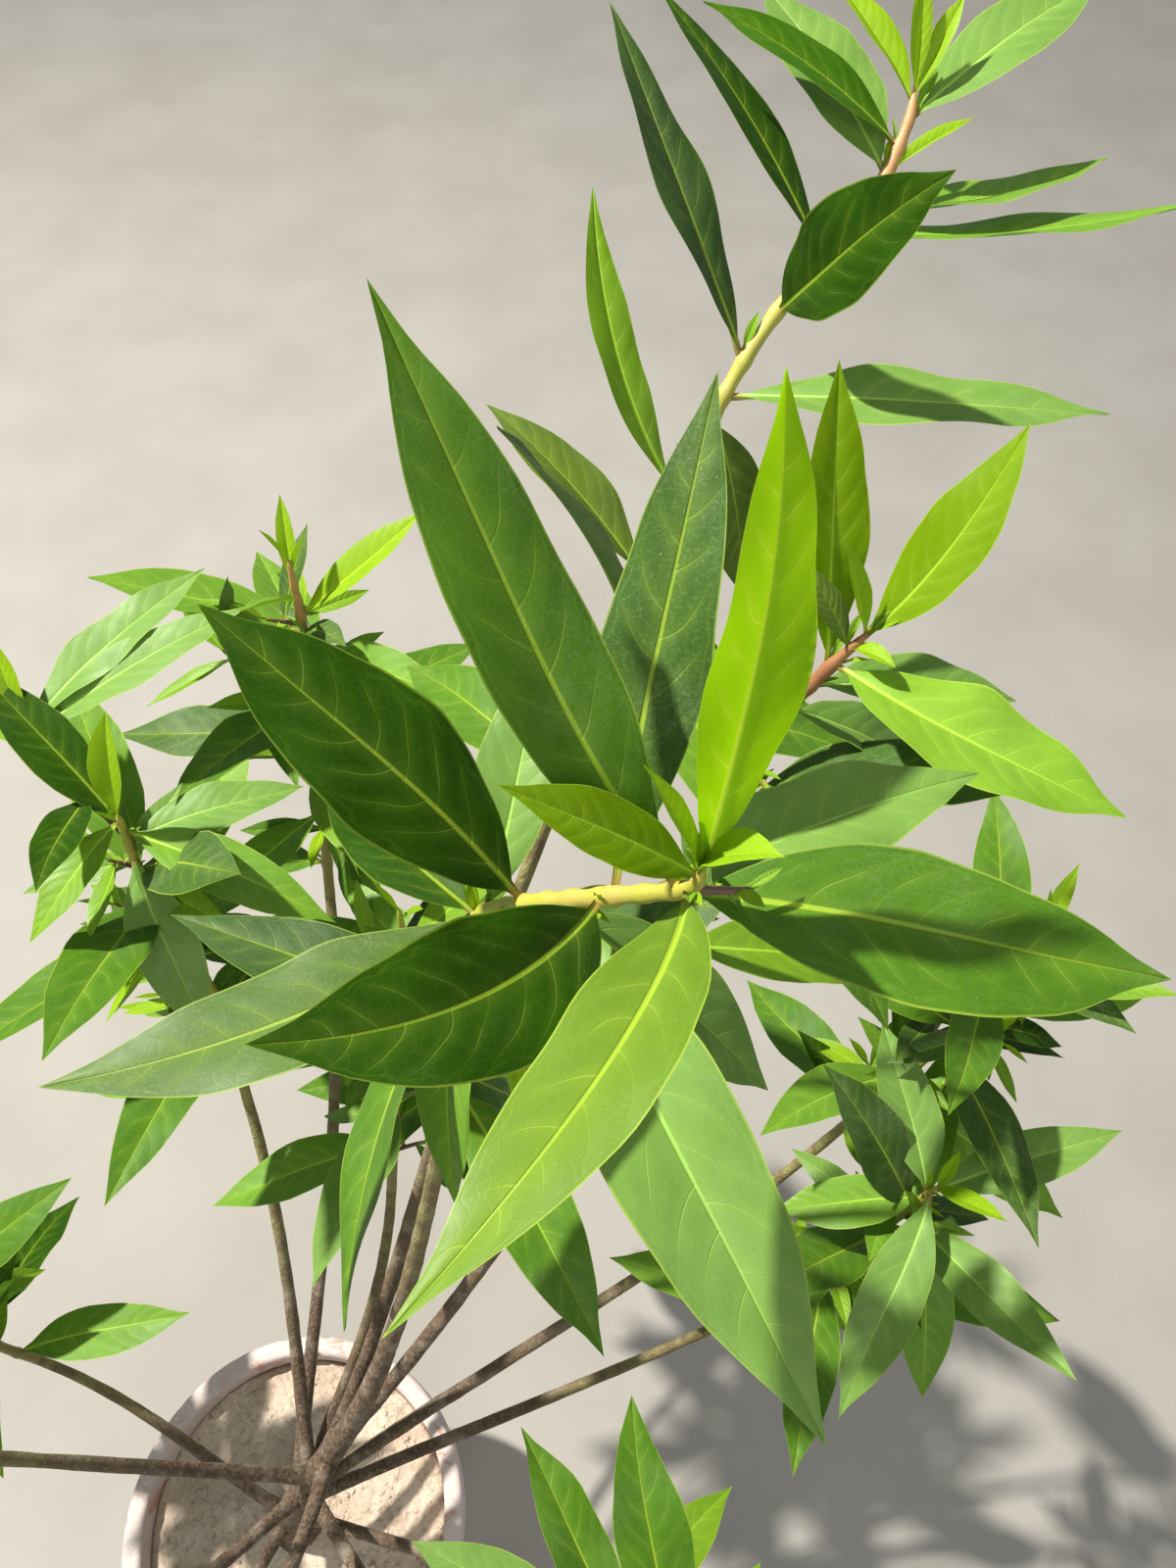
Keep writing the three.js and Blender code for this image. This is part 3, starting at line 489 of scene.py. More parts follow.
# Each shoot: its bough's height on the trunk, its stem's points from foot to tip, its listed leaves, the
# leaves that follow by the rule (from, to, count, age, turn), and its side twigs (at, turn, rise, long,
# leaves, size)
shoots = {
    "centre": (430, [(163, 135, 780), (175, 146, 845), (181, 148, 898), (188, 144, 933), (201, 134, 960),
                     (223, 123, 986), (239, 115, 1005), (242, 115, 1014)],
               centreLeaves, (178, 236, 3, 7, 250), [(10, -8, 12, 14, 4, 19), (114, -74, -6, 36, 4, 44)]),
    "right": (390, [(246, 184, 803), (264, 200, 868), (277, 214, 925), (288, 217, 948), (300, 219, 967)],
              rightLeaves, (80, 160, 4, 7, -170), []),
    "far": (362, [(203, 240, 834), (226, 268, 894), (248, 294, 950), (263, 312, 978), (281, 330, 999),
                  (307, 351, 1020), (317, 365, 1035), (319, 372, 1043)],
            farLeaves, (190, 262, 3, 7, 70), []),
    "left": (350, [(24, 202, 579), (18, 236, 640), (6, 254, 720), (10, 263, 793)],
             leftLeaves, (42, 200, 10, 7, 176), [(16, 140, 32, 64, 3, 88, leftTwigLeaves)]),
    "low_right": (292, [(324, 113, 457), (348, 120, 500), (374, 132, 572), (391, 140, 642)],
                  lowRightLeaves, (30, 176, 9, 7, 40), []),
    "low_front": (276, [(210, -44, 423), (228, -52, 458), (254, -60, 520), (266, -56, 580)],
                  lowFrontLeaves, (9, 146, 10, 4, -60), []),
    "front": (392, [(64, -119, 691), (67, -154, 752), (77, -182, 838), (75, -192, 908)],
              [], (2, 205, 16, 0, 20), [(96, -20, 24, 48, 5, 78)]),
    "front_left": (326, [(-80, -107, 579), (-105, -132, 640), (-127, -152, 722), (-131, -156, 792)],
                   [], (2, 202, 16, 0, 100), [(88, -70, 22, 46, 5, 80)]),
    "side_left": (360, [(-128, 28, 651), (-163, 28, 712), (-193, 28, 800), (-197, 32, 872)],
                  [], (2, 210, 16, 0, 220), [(92, 110, 24, 48, 5, 78)]),
    "back": (306, [(67, 309, 629), (69, 344, 690), (75, 370, 770), (79, 376, 836)],
             [], (2, 200, 16, 0, 64), [(84, 170, 24, 46, 5, 80)]),
    "inner_back": (322, [(103, 165, 535), (111, 198, 596), (124, 236, 670), (128, 246, 735)],
                   [], (2, 186, 14, 0, 30), []),
    "side_right": (318, [(358, 188, 555), (389, 204, 616), (419, 222, 684), (428, 229, 748)],
                   [], (2, 190, 15, 0, 10), []),
    "front_right": (340, [(216, -156, 559), (239, -182, 620), (257, -202, 694), (259, -208, 762)],
                    [], (2, 196, 15, 0, 250), []),
    "low_left": (264, [(-143, 90, 395), (-167, 98, 436), (-201, 112, 492), (-209, 116, 552)],
                 [], (2, 162, 14, 0, 130), []),
    "low_back": (268, [(109, 222, 404), (117, 252, 450), (131, 286, 520), (133, 294, 588)],
                 [], (2, 178, 14, 0, 300), []),
    "low_side": (250, [(-53, -148, 378), (-63, -168, 412), (-79, -198, 474), (-81, -206, 536)],
                 [], (2, 156, 14, 0, 10), []),
}

# Small side sprigs in the leaf axils of the shoots that the view doesn't show from close by
sprigShape = {"from": 0.1, "to": 0.84, "count": 9, "rise": (20, 50), "long": (14, 36), "bow": 0.06,
              "lift": 0.1, "leaves": 5, "leafy": (0.6, 0.75), "size": (44, 72), "young": 2, "clear": 5.0,
              "spots": (0.4, 0.7, 1.0), "seeds": (500, 1500), "bareShoots": ("centre", "right", "far")}
up = np.array([0.0, 0.0, 1.0])


def unit(vector):
    return vector / np.linalg.norm(vector)


def blend(a, b, share):
    return a + (b - a) * share


def ease(share):
    share = np.clip(share, 0, 1)
    return share * share * (3 - 2 * share)


def makeDraw(seed):  # the same seeded draws between 0 and 1 as the solids take
    state = [seed]

    def draw():
        state[0] = (state[0] * 1664525 + 1013904223) % 4294967296
        return state[0] / 4294967296
    return draw


def makeLine(at):
    ts = np.linspace(0, 1, 201)
    steps = np.linalg.norm(np.diff(at(ts), axis=0), axis=1)
    lengths = np.concatenate([[0], np.cumsum(steps)])
    return {"at": at, "ts": ts, "lengths": lengths, "long": lengths[-1]}


def smoothLine(points):
    p = np.array(points, float)
    p = np.vstack([2 * p[0] - p[1], p, 2 * p[-1] - p[-2]])
    spans = len(points) - 1

    def at(t):
        span = np.minimum((np.asarray(t) * spans).astype(int), spans - 1)
        w = (np.asarray(t) * spans - span)[:, None]
        a, b, c, d = p[span], p[span + 1], p[span + 2], p[span + 3]
        start, end = (c - a) / 2, (d - b) / 2
        return b + start * w + (3 * (c - b) - 2 * start - end) * w ** 2 + (2 * (b - c) + start + end) * w ** 3
    return makeLine(at)


def bezierLine(*points):
    def at(t):
        t = np.asarray(t)[:, None]
        level = [np.array(p, float) + 0 * t for p in points]
        while len(level) > 1:
            level = [a * (1 - t) + b * t for a, b in zip(level, level[1:])]
        return level[0]
    return makeLine(at)


def timeOn(line, share):
    return np.interp(np.asarray(share) * line["long"], line["lengths"], line["ts"])


def placeOn(line, share):
    return line["at"](np.atleast_1d(timeOn(line, share)))


def tangentOn(line, share):
    t = np.atleast_1d(timeOn(line, share))
    ahead = line["at"](np.minimum(t + 1e-4, 1)) - line["at"](np.maximum(t - 1e-4, 0))
    return ahead / np.linalg.norm(ahead, axis=1)[:, None]


def heading(turn, rise):
    turn, rise = math.radians(turn), math.radians(rise)
    return np.array([math.cos(rise) * math.cos(turn), math.cos(rise) * math.sin(turn), math.sin(rise)])


def headingFrom(axis, turn, rise):  # round a stem by the turn, out from it, and lifted to the light
    right = np.cross(up, axis)
    right = np.array([1.0, 0, 0]) if np.linalg.norm(right) < 0.05 else unit(right)
    forward = np.cross(axis, right)
    out = right * math.cos(math.radians(turn)) + forward * math.sin(math.radians(turn))
    aim = out * math.cos(math.radians(rise)) + axis * math.sin(math.radians(rise))
    aim[2] = aim[2] * spiral["uprightShare"] + spiral["lift"]
    return unit(aim)


toneRule = {"limeUnder": 0.25, "brightUnder": 0.8, "brightShare": 0.7,
            "grown": ("fresh", "mature", "fresh", "pale", "deep", "mature", "dusty", "bright", "mature", "slate")}


def toneFor(grown, pick):
    if grown < toneRule["limeUnder"]:
        return "lime"
    if grown < toneRule["brightUnder"]:
        return "bright" if pick < toneRule["brightShare"] else "lime"
    return toneRule["grown"][int(pick * len(toneRule["grown"]))]


def leavesByRule(line, rule, draw, pick, size=leafShape["long"]):
    first, last, count, age, turn = rule
    made = []
    for i in range(count):
        share = i / (count - 1) if count > 1 else 0
        grown = float(ease((age + i) / spiral["youngLeaves"]))
        place = 1 - blend(first, last, share ** spiral["crowding"]) / line["long"]
        long = size * blend(spiral["youngSize"], 1, grown) * blend(*spiral["sizes"], draw())
        rise = blend(spiral["youngRise"], spiral["grownRise"], grown) - spiral["droop"] * share
        rise += blend(-spiral["riseJitter"], spiral["riseJitter"], draw())
        around = turn + spiral["step"] * i + blend(-spiral["stepJitter"], spiral["stepJitter"], draw())
        slim = leafShape["slimness"] * blend(spiral["youngWidth"], 1, grown)
        wide = long * slim * blend(*spiral["widths"], draw())
        arch = blend(*spiral["arches"], draw()) * grown
        roll = blend(-spiral["rollJitter"], spiral["rollJitter"], draw())
        sweep = blend(-spiral["sweepJitter"], spiral["sweepJitter"], draw())
        aim = headingFrom(tangentOn(line, place)[0], around, rise)
        made.append({"base": placeOn(line, place)[0], "aim": aim, "long": long, "wide": wide, "arch": arch,
                     "roll": roll, "sweep": sweep, "share": place, "young": 1 - grown,
                     "tone": toneFor(grown, pick())})
    return made


def leavesFromList(line, rows):
    made = []
    for down, turn, rise, long, wide, arch, roll, tone, *sweep in rows:
        share = 1 - down / line["long"]
        made.append({"base": placeOn(line, share)[0], "aim": heading(turn, rise), "long": long, "wide": wide,
                     "arch": arch, "roll": roll, "sweep": sweep[0] if sweep else 0, "share": share,
                     "young": float(tone == "lime"), "tone": tone, "listed": True})
    return made


def twigOn(stemLine, twig, draw, pick):
    at, turn, rise, long, leaves, size, *rows = twig
    base = placeOn(stemLine, 1 - at / stemLine["long"])[0]
    aim = heading(turn, rise)
    middle = base + aim * long / 2 - up * long * twigShape["sag"]
    line = bezierLine(base, middle, base + aim * long)
    rule = (1, long * twigShape["leafyShare"], leaves, twigShape["youngest"], turn)
    return line, leavesFromList(line, rows[0] if rows else []) + leavesByRule(line, rule, draw, pick, size)


def growSprigs(name, line, limbSpots, seed):  # its leaves stay in the mass's reach and clear of the limbs
    low, high = (np.array(corner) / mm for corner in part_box("shoot_" + name))
    draw, pick = (makeDraw(first + seed) for first in sprigShape["seeds"])
    lines, leaves = [], []
    for k in range(sprigShape["count"]):
        share = blend(sprigShape["from"], sprigShape["to"], (k + draw()) / sprigShape["count"])
        turn = spiral["step"] * k + 360 * draw()
        base, axis = placeOn(line, share)[0], tangentOn(line, share)[0]
        aim = headingFrom(axis, turn, blend(*sprigShape["rise"], draw()))
        long = blend(*sprigShape["long"], draw()) * (1.15 - 0.5 * share)
        middle = base + aim * long * 0.5 + axis * long * sprigShape["bow"]
        sprig = bezierLine(base, middle, base + aim * long + up * long * sprigShape["lift"])
        first, last = sprigShape["leafy"]
        rule = (first, long * last, sprigShape["leaves"], sprigShape["young"], turn)
        kept = []
        for leaf in leavesByRule(sprig, rule, draw, pick, blend(*sprigShape["size"], draw())):
            spots = leaf["base"] + np.outer(sprigShape["spots"], leaf["aim"]) * leaf["long"]
            inside = (spots > low).all() and (spots < high).all()
            apart = np.linalg.norm(spots[:, None] - limbSpots, axis=2).min()
            if inside and apart > sprigShape["clear"]:
                kept.append(dict(leaf, side=True, small=True))
        if len(kept) > 1:
            lines.append(sprig)
            leaves += kept
    return lines, leaves


crossed = {"above": 7.0, "shares": (0.1, 0.95), "aside": 0.45, "shorter": 0.9}
tipNear = 1.2  # how far a leaf's tip may lie from its solid's nearest corner


def trimCrossed(leaves):  # a tip that would come up through a listed leaf of its shoot ends sooner
    for leaf in leaves:
        tip = leaf["base"] + leaf["aim"] * leaf["long"]
        for other in leaves:
            if leaf.get("listed") or not other.get("listed"):
                continue
            apart = tip - other["base"]
            share = apart @ other["aim"] / other["long"]
            aside = apart - other["aim"] * share * other["long"]
            lift = aside @ unit(up - other["aim"] * other["aim"][2])
            inside = crossed["shares"][0] < share < crossed["shares"][1]
            near = abs(lift) < crossed["above"] and np.linalg.norm(aside) < other["wide"] * crossed["aside"]
            if inside and near:
                leaf["long"] *= crossed["shorter"]
                break


def growPlant():  # every shoot's lines, and those of its leaves whose tips its solid has
    grown = {}
    for i, (name, (root, points, listed, more, twigs)) in enumerate(shoots.items()):
        draw, pick = makeDraw(i + 1), makeDraw(1000 + i)
        line = smoothLine(points)
        leaves = leavesFromList(line, listed) + leavesByRule(line, more, draw, pick)
        sideLines = []
        for twig in twigs:
            sideLine, sideLeaves = twigOn(line, twig, draw, pick)
            sideLines.append(sideLine)
            leaves += [dict(leaf, side=True) for leaf in sideLeaves]
        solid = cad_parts["shoot_" + name].data
        corners = np.zeros(len(solid.vertices) * 3, np.float32)
        solid.vertices.foreach_get("co", corners)
        corners = corners.reshape(-1, 3) / mm
        kept = []
        for leaf in leaves:
            tip = leaf["base"] + leaf["aim"] * leaf["long"]
            if np.linalg.norm(corners - tip, axis=1).min() < tipNear:
                kept.append(leaf)
        trimCrossed(kept)
        grown[name] = {"root": root, "line": line, "twigs": sideLines, "leaves": kept,
                       "skipped": len(leaves) - len(kept)}
    trunkLine = smoothLine(trunkShape["line"])
    limbs = [shoot["line"] for shoot in grown.values()]
    limbs += [boughLine(shoot, trunkLine)[0] for shoot in grown.values()]
    limbSpots = np.vstack([placeOn(limb, np.linspace(0, 1, 60)) for limb in limbs])
    for i, (name, shoot) in enumerate(grown.items()):
        shoot["sprigs"] = []
        if name not in sprigShape["bareShoots"]:
            shoot["sprigs"], more = growSprigs(name, shoot["line"], limbSpots, i)
            shoot["leaves"] += more
    return grown


# Leaves: thin closed blades, folded a little along the midrib, waved at the margin and keeled below

bladeShape = {"thick": 0.42, "ribDepth": 0.85, "groove": 0.2, "stalkDepth": 1.5, "fold": (9, 22),
              "youngFold": 34, "wave": (0.02, 0.065), "waves": (1.6, 3.0), "twist": (-14, 14),
              "endRow": 0.985, "ragged": ((0.018, 12, 22), (0.009, 30, 46)), "skew": 0.06, "lean": 0.035,
              "weave": 0.009, "pinch": (0.04, 0.24), "pinchAt": 0.92, "pinchLong": 0.06, "usual": 105,
              "most": 1.1, "rowSpread": 1.12, "firstRow": 0.03, "opening": 0.45, "grooveWide": 0.1,
              "ribWide": 0.9, "ribEnd": 0.12, "calmTwist": 0.4, "calm": 0.6}
fineColumns = (-1, -0.72, -0.42, -0.17, -0.045, 0, 0.045, 0.17, 0.42, 0.72, 1)
plainColumns = (-1, -0.5, -0.07, 0, 0.07, 0.5, 1)
bladeRows = {"fine": 34, "plain": 18, "small": 11}


def outlineAt(share, wide):
    v = np.clip((share - leafShape["stalkShare"]) / (1 - leafShape["stalkShare"]), 0, 1)
    rising, falling = leafShape["outline"]
    blade = v ** rising * (1 - v) ** falling / leafShape["broadest"]
    return np.maximum(leafShape["stalkRadius"] * (1 - v), blade * wide / 2)


def bladeParts(leaf, rows, columns, draw):
    long = leaf["long"]
    s = np.linspace(0, 1, rows) ** bladeShape["rowSpread"] * bladeShape["endRow"]
    s[:2] = 0, bladeShape["firstRow"]
    u = np.array(columns, float)
    aim = leaf["aim"]
    above = unit(up - aim * aim[2])
    turn = Matrix.Rotation(math.radians(leaf["roll"]), 3, Vector(aim))
    above = np.array(turn @ Vector(above))
    across = np.cross(aim, above)
    bow = 4 * s * (1 - s)
    weave = bladeShape["weave"] * blend(-1, 1, draw()) * np.sin(2 * math.pi * s) * (1 - leaf["young"])
    middle = (leaf["base"] + np.outer(s * long, aim) + np.outer(leaf["arch"] * bow * long, above)
              + np.outer((leaf["sweep"] * bow + weave) * long, across))
    slope = 4 * (1 - 2 * s)
    forward = aim + np.outer(slope * leaf["arch"], above) + np.outer(slope * leaf["sweep"], across)
    forward /= np.linalg.norm(forward, axis=1)[:, None]
    normal = above - forward * (forward @ above)[:, None]
    normal /= np.linalg.norm(normal, axis=1)[:, None]
    turned = blend(*bladeShape["twist"], draw()) * (bladeShape["calmTwist"] if leaf.get("listed") else 1)
    twist = math.radians(turned) * (1 - leaf["young"]) * ease(s / 0.9)
    side = np.cross(forward, normal)
    normal, side = (normal * np.cos(twist)[:, None] - side * np.sin(twist)[:, None],
                    side * np.cos(twist)[:, None] + normal * np.sin(twist)[:, None])
    size = min(long / bladeShape["usual"], bladeShape["most"])
    half = outlineAt(s, leaf["wide"])
    calm = bladeShape["calm"] if leaf.get("listed") else 1
    skew, lean = (bladeShape[key] * blend(-1, 1, draw()) * calm for key in ("skew", "lean"))
    fromPinch = (s - bladeShape["pinchAt"]) / bladeShape["pinchLong"]
    pinch = 1 - blend(*bladeShape["pinch"], draw()) * np.exp(-fromPinch ** 2)
    rim = np.empty((len(s), len(u)))
    for sign in (-1, 1):  # the two sides of a leaf differ a little in width, fullest point and edge
        warped = outlineAt(s + sign * lean * np.sin(math.pi * s), leaf["wide"] * (1 + sign * skew))
        for depth, slow, fast in bladeShape["ragged"]:
            warped = warped * (1 + depth * np.sin(s * blend(slow, fast, draw()) + draw() * 6.3))
        rim[:, u * sign > 0] = (warped * pinch)[:, None]
    rim[:, u == 0] = half[:, None]
    fold = blend(*bladeShape["fold"], draw()) + bladeShape["youngFold"] * leaf["young"]
    fold = math.radians(fold) * (1 - bladeShape["opening"] * s)
    wave = blend(*bladeShape["wave"], draw()) * size
    waves, phase, other = blend(*bladeShape["waves"], draw()), draw() * 6.3, 1.5 + draw() * 2
    edge = np.abs(u)
    out = rim * np.cos(fold)[:, None] * u
    lift = np.outer(half * np.sin(fold), edge) - np.outer(half * np.sin(fold) * 0.35, edge ** 3)
    ripple = np.sin(2 * math.pi * waves * s[:, None] + phase + other * (u > 0)[None, :])
    lift += ripple * np.outer(half * wave * 2 * ease(s * 4), edge ** 2)
    stalk = ease((0.09 - s) / 0.07)
    groove = np.exp(-(edge / bladeShape["grooveWide"]) ** 2) * bladeShape["groove"] * size
    top = lift - np.outer(1 - stalk, groove)
    ribDeep = (bladeShape["ribDepth"] * (1 - s) ** 0.8 + bladeShape["ribEnd"]) * size * (1 - stalk)
    ribDeep = ribDeep + bladeShape["stalkDepth"] * size * stalk
    ribShape = np.exp(-np.outer(half, edge) ** 2 / (bladeShape["ribWide"] * size) ** 2)
    thin = bladeShape["thick"] * size * (1 - edge ** 4)
    low = lift - thin[None, :] - ribDeep[:, None] * ribShape * (1 - edge ** 2)[None, :]
    upper = middle[:, None] + side[:, None] * out[:, :, None] + normal[:, None] * top[:, :, None]
    lower = middle[:, None] + side[:, None] * out[:, :, None] + normal[:, None] * low[:, :, None]
    tip = leaf["base"] + aim * long
    return s, u, half, upper, lower[:, 1:-1], tip


def bladeMesh(leaf, kind, draw):  # corners, faces, map, and measures for the vein pattern, as plain arrays
    columns = fineColumns if kind == "fine" else plainColumns
    s, u, half, upper, lower, tip = bladeParts(leaf, bladeRows[kind], columns, draw)
    rows, wide = upper.shape[:2]
    corners = np.vstack([upper.reshape(-1, 3), lower.reshape(-1, 3), tip[None]])
    top = np.arange(rows * wide).reshape(rows, wide)
    low = np.empty_like(top)
    low[:, 0], low[:, -1] = top[:, 0], top[:, -1]
    low[:, 1:-1] = rows * wide + np.arange(rows * (wide - 2)).reshape(rows, wide - 2)
    end = len(corners) - 1
    quads = [np.stack([top[:-1, :-1], top[:-1, 1:], top[1:, 1:], top[1:, :-1]], -1).reshape(-1, 4),
             np.stack([low[:-1, :-1], low[1:, :-1], low[1:, 1:], low[:-1, 1:]], -1).reshape(-1, 4)]
    faces = [tuple(q) for q in np.vstack(quads)]
    under = [0.0] * len(quads[0]) + [1.0] * len(quads[1])
    for c in range(wide - 1):
        faces += [(top[-1, c], top[-1, c + 1], end), (low[-1, c + 1], low[-1, c], end)]
        under += [0.0, 1.0]
        ring = [top[0, c + 1], top[0, c], low[0, c], low[0, c + 1]]
        faces.append(tuple(dict.fromkeys(ring)))
        under.append(1.0)
    above, below = (np.stack(np.meshgrid(across, s), -1).reshape(-1, 2) for across in (u, u[1:-1]))
    leafMap = np.vstack([above, below, [[0, 1]]])
    leafMap[:, 0] = leafMap[:, 0] / 2 + 0.5
    halfWide = np.concatenate([np.repeat(half, wide), np.repeat(half, wide - 2), [0.05]])
    margin = np.zeros(len(corners), bool)
    margin[top[:, 0]] = margin[top[:, -1]] = margin[end] = True
    return corners, faces, under, leafMap, halfWide, margin


def meshFrom(name, corners, faces, edges=()):  # corners in millimetres
    mesh = bpy.data.meshes.new(name)
    mesh.from_pydata((np.array(corners) * mm).tolist(), edges, faces)
    mesh.shade_smooth()
    return mesh


def joinBlades(name, leaves, kind, material, draw):
    corners, faces, unders, maps, halves, margins, longs, draws = [], [], [], [], [], [], [], []
    count = 0
    for leaf in leaves:
        large = leaf["long"] > leafSets["leastLong"] and not leaf.get("small")
        rows = kind if kind == "fine" or large else "small"
        part, partFaces, under, leafMap, half, margin = bladeMesh(leaf, rows, draw)
        corners.append(part)
        faces += [tuple(int(i) + count for i in face) for face in partFaces]
        unders += under
        maps.append(leafMap)
        halves.append(half)
        margins.append(margin)
        longs.append(np.full(len(part), leaf["long"]))
        draws.append(np.full(len(part), draw()))
        count += len(part)
    mesh = meshFrom(name, np.vstack(corners), faces)
    for label, values, where in (("halfWide", np.concatenate(halves), "POINT"),
                                 ("leafLong", np.concatenate(longs), "POINT"),
                                 ("leafDraw", np.concatenate(draws), "POINT"), ("under", unders, "FACE")):
        mesh.attributes.new(label, "FLOAT", where).data.foreach_set("value", np.array(values, np.float32))
    loops = np.zeros(len(mesh.loops), np.int32)
    mesh.loops.foreach_get("vertex_index", loops)
    leafMap = np.vstack(maps)[loops].astype(np.float32)
    mesh.uv_layers.new(name="leafMap").data.foreach_set("uv", leafMap.ravel())
    ends = np.zeros(len(mesh.edges) * 2, np.int32)
    mesh.edges.foreach_get("vertices", ends)
    sharp = np.concatenate(margins)[ends.reshape(-1, 2)].all(axis=1)
    mesh.attributes.new("sharp_edge", "BOOLEAN", "EDGE").data.foreach_set("value", sharp)
    mesh.materials.append(material)
    return addPiece(name, mesh)


axilShape = {"outward": (0.5, 0.9), "upward": (0.6, 1.2), "stray": 0.9, "long": (5, 15), "wide": (0.22, 0.32),
             "out": 2.2, "above": 1.5, "arch": 0.06, "young": 0.8, "limeShare": 0.6}


def axilLeaves(leaf, stemAxis, draw):  # one or two tiny leaves where a grown leaf meets the stem
    made = []
    for _ in range(1 + int(draw() * 2)):
        outward = leaf["aim"] * blend(*axilShape["outward"], draw())
        upward = stemAxis * blend(*axilShape["upward"], draw())
        stray = np.array([draw() - 0.5, draw() - 0.5, draw() * 0.4]) * axilShape["stray"]
        long = blend(*axilShape["long"], draw() ** 1.4)
        base = leaf["base"] + leaf["aim"] * axilShape["out"] + stemAxis * axilShape["above"]
        made.append({"base": base, "aim": unit(outward + upward + stray), "long": long,
                     "wide": long * blend(*axilShape["wide"], draw()), "arch": axilShape["arch"], "roll": 0,
                     "sweep": 0, "young": axilShape["young"], "share": leaf["share"],
                     "tone": "lime" if draw() < axilShape["limeShare"] else "bright"})
    return made


leafSets = {"seed": 77, "fineShoots": ("centre", "right", "far"), "leastLong": 24, "grown": 0.2,
            "shown": ("centre", "right", "far", "left", "low_right"), "axils": (0.45, 0.9)}


def makeLeaves(plant):
    draw = makeDraw(leafSets["seed"])
    near, others = {}, {}
    for name, shoot in plant.items():
        chance = leafSets["axils"][name in leafSets["shown"]]
        for leaf in shoot["leaves"]:
            fine = name in leafSets["fineShoots"] and leaf["long"] > leafSets["leastLong"]
            store = near if fine else others
            store.setdefault(leaf["tone"], []).append(leaf)
            if leaf["young"] < leafSets["grown"] and not leaf.get("side") and draw() < chance:
                for small in axilLeaves(leaf, tangentOn(shoot["line"], leaf["share"])[0], draw):
                    others.setdefault(small["tone"], []).append(small)
    pieces = []
    for tone, values in leafTones.items():
        material = leafMaterial("leaf" + tone.capitalize(), values)
        for label, store, kind in (("near", near, "fine"), ("crown", others, "plain")):
            if store.get(tone):
                name = label + "Leaves" + tone.capitalize()
                pieces.append(joinBlades(name, store[tone], kind, material, draw))
    total = sum(len(shoot["leaves"]) for shoot in plant.values())
    print("leaves", total, "skipped", sum(shoot["skipped"] for shoot in plant.values()))
    return pieces


# Limbs: lines with a girth, swept and roughened by Geometry Nodes

def openGeometry(name, inputs):
    tree = bpy.data.node_groups.new(name, "GeometryNodeTree")
    for label, kind in {"Geometry": "Geometry", **inputs, "Material": "Material"}.items():
        tree.interface.new_socket(label, in_out="INPUT", socket_type="NodeSocket" + kind)
    return Wire(tree.nodes.new("NodeGroupInput").outputs[0])


def closeGeometry(geometry, material):
    tree = geometry.tree
    tree.interface.new_socket("Geometry", in_out="OUTPUT", socket_type="NodeSocketGeometry")
    smooth = put(tree, "GeometryNodeSetShadeSmooth", {"Geometry": geometry})
    realized = put(tree, "GeometryNodeRealizeInstances", {"Geometry": smooth})
    painted = put(tree, "GeometryNodeSetMaterial", {"Geometry": realized, "Material": material})
    feed(tree.nodes.new("NodeGroupOutput").inputs[0], painted)
    return tree


def applyTree(piece, tree, values):
    modifier = piece.modifiers.new(tree.name, "NODES")
    modifier.node_group = tree
    for item in tree.interface.items_tree:
        if item.item_type == "SOCKET" and item.in_out == "INPUT" and item.name in values:
            modifier[item.identifier] = values[item.name]
    applyModifiers(piece)


def applyModifiers(piece):
    graph = bpy.context.evaluated_depsgraph_get()
    result = piece.evaluated_get(graph)
    mesh = bpy.data.meshes.new_from_object(result, preserve_all_data_layers=True, depsgraph=graph)
    piece.modifiers.clear()
    piece.data = mesh


def scaled(vector, factor):
    return put(vector.tree, "ShaderNodeVectorMath", {0: vector, "Scale": factor}, operation="SCALE")


limbFinish = {"collar": 0.55, "collarFrom": 6, "collarLong": 9, "nodeSwell": 0.22, "nodeLong": 2.4,
              "nodeLeaf": 40, "streakScale": 26.0, "lobes": 3, "bedded": 2.5, "beddedSwell": 1.06,
              "stemStep": 1.6, "stemEnd": (0.85, 0.6, 0.2), "stemFoot": 1.5, "twigRows": 24, "sprigRows": 12}
limbAges = {"wood": 1.0, "boughTip": 0.12, "stem": 0.3, "twig": 0.2}
limbInputs = ("Sides", "Furrow scale", "Furrow depth", "Lump scale", "Lump depth", "Lobe depth")
limbValues = {"trunk": (40, 3.2, 0.34, 70.0, 0.3, 0.1), "bough": (18, 3.2, 0.2, 70.0, 0.22, 0.0),
              "stem": (14, 2.4, 0.16, 160.0, 0.16, 0.0), "twig": (8, 2.4, 0.16, 160.0, 0.16, 0.0)}
stemTints = {"far": "stemPink", "back": "stemPink", "right": "stemRed", "low_back": "stemRed",
             "front_right": "stemRed"}


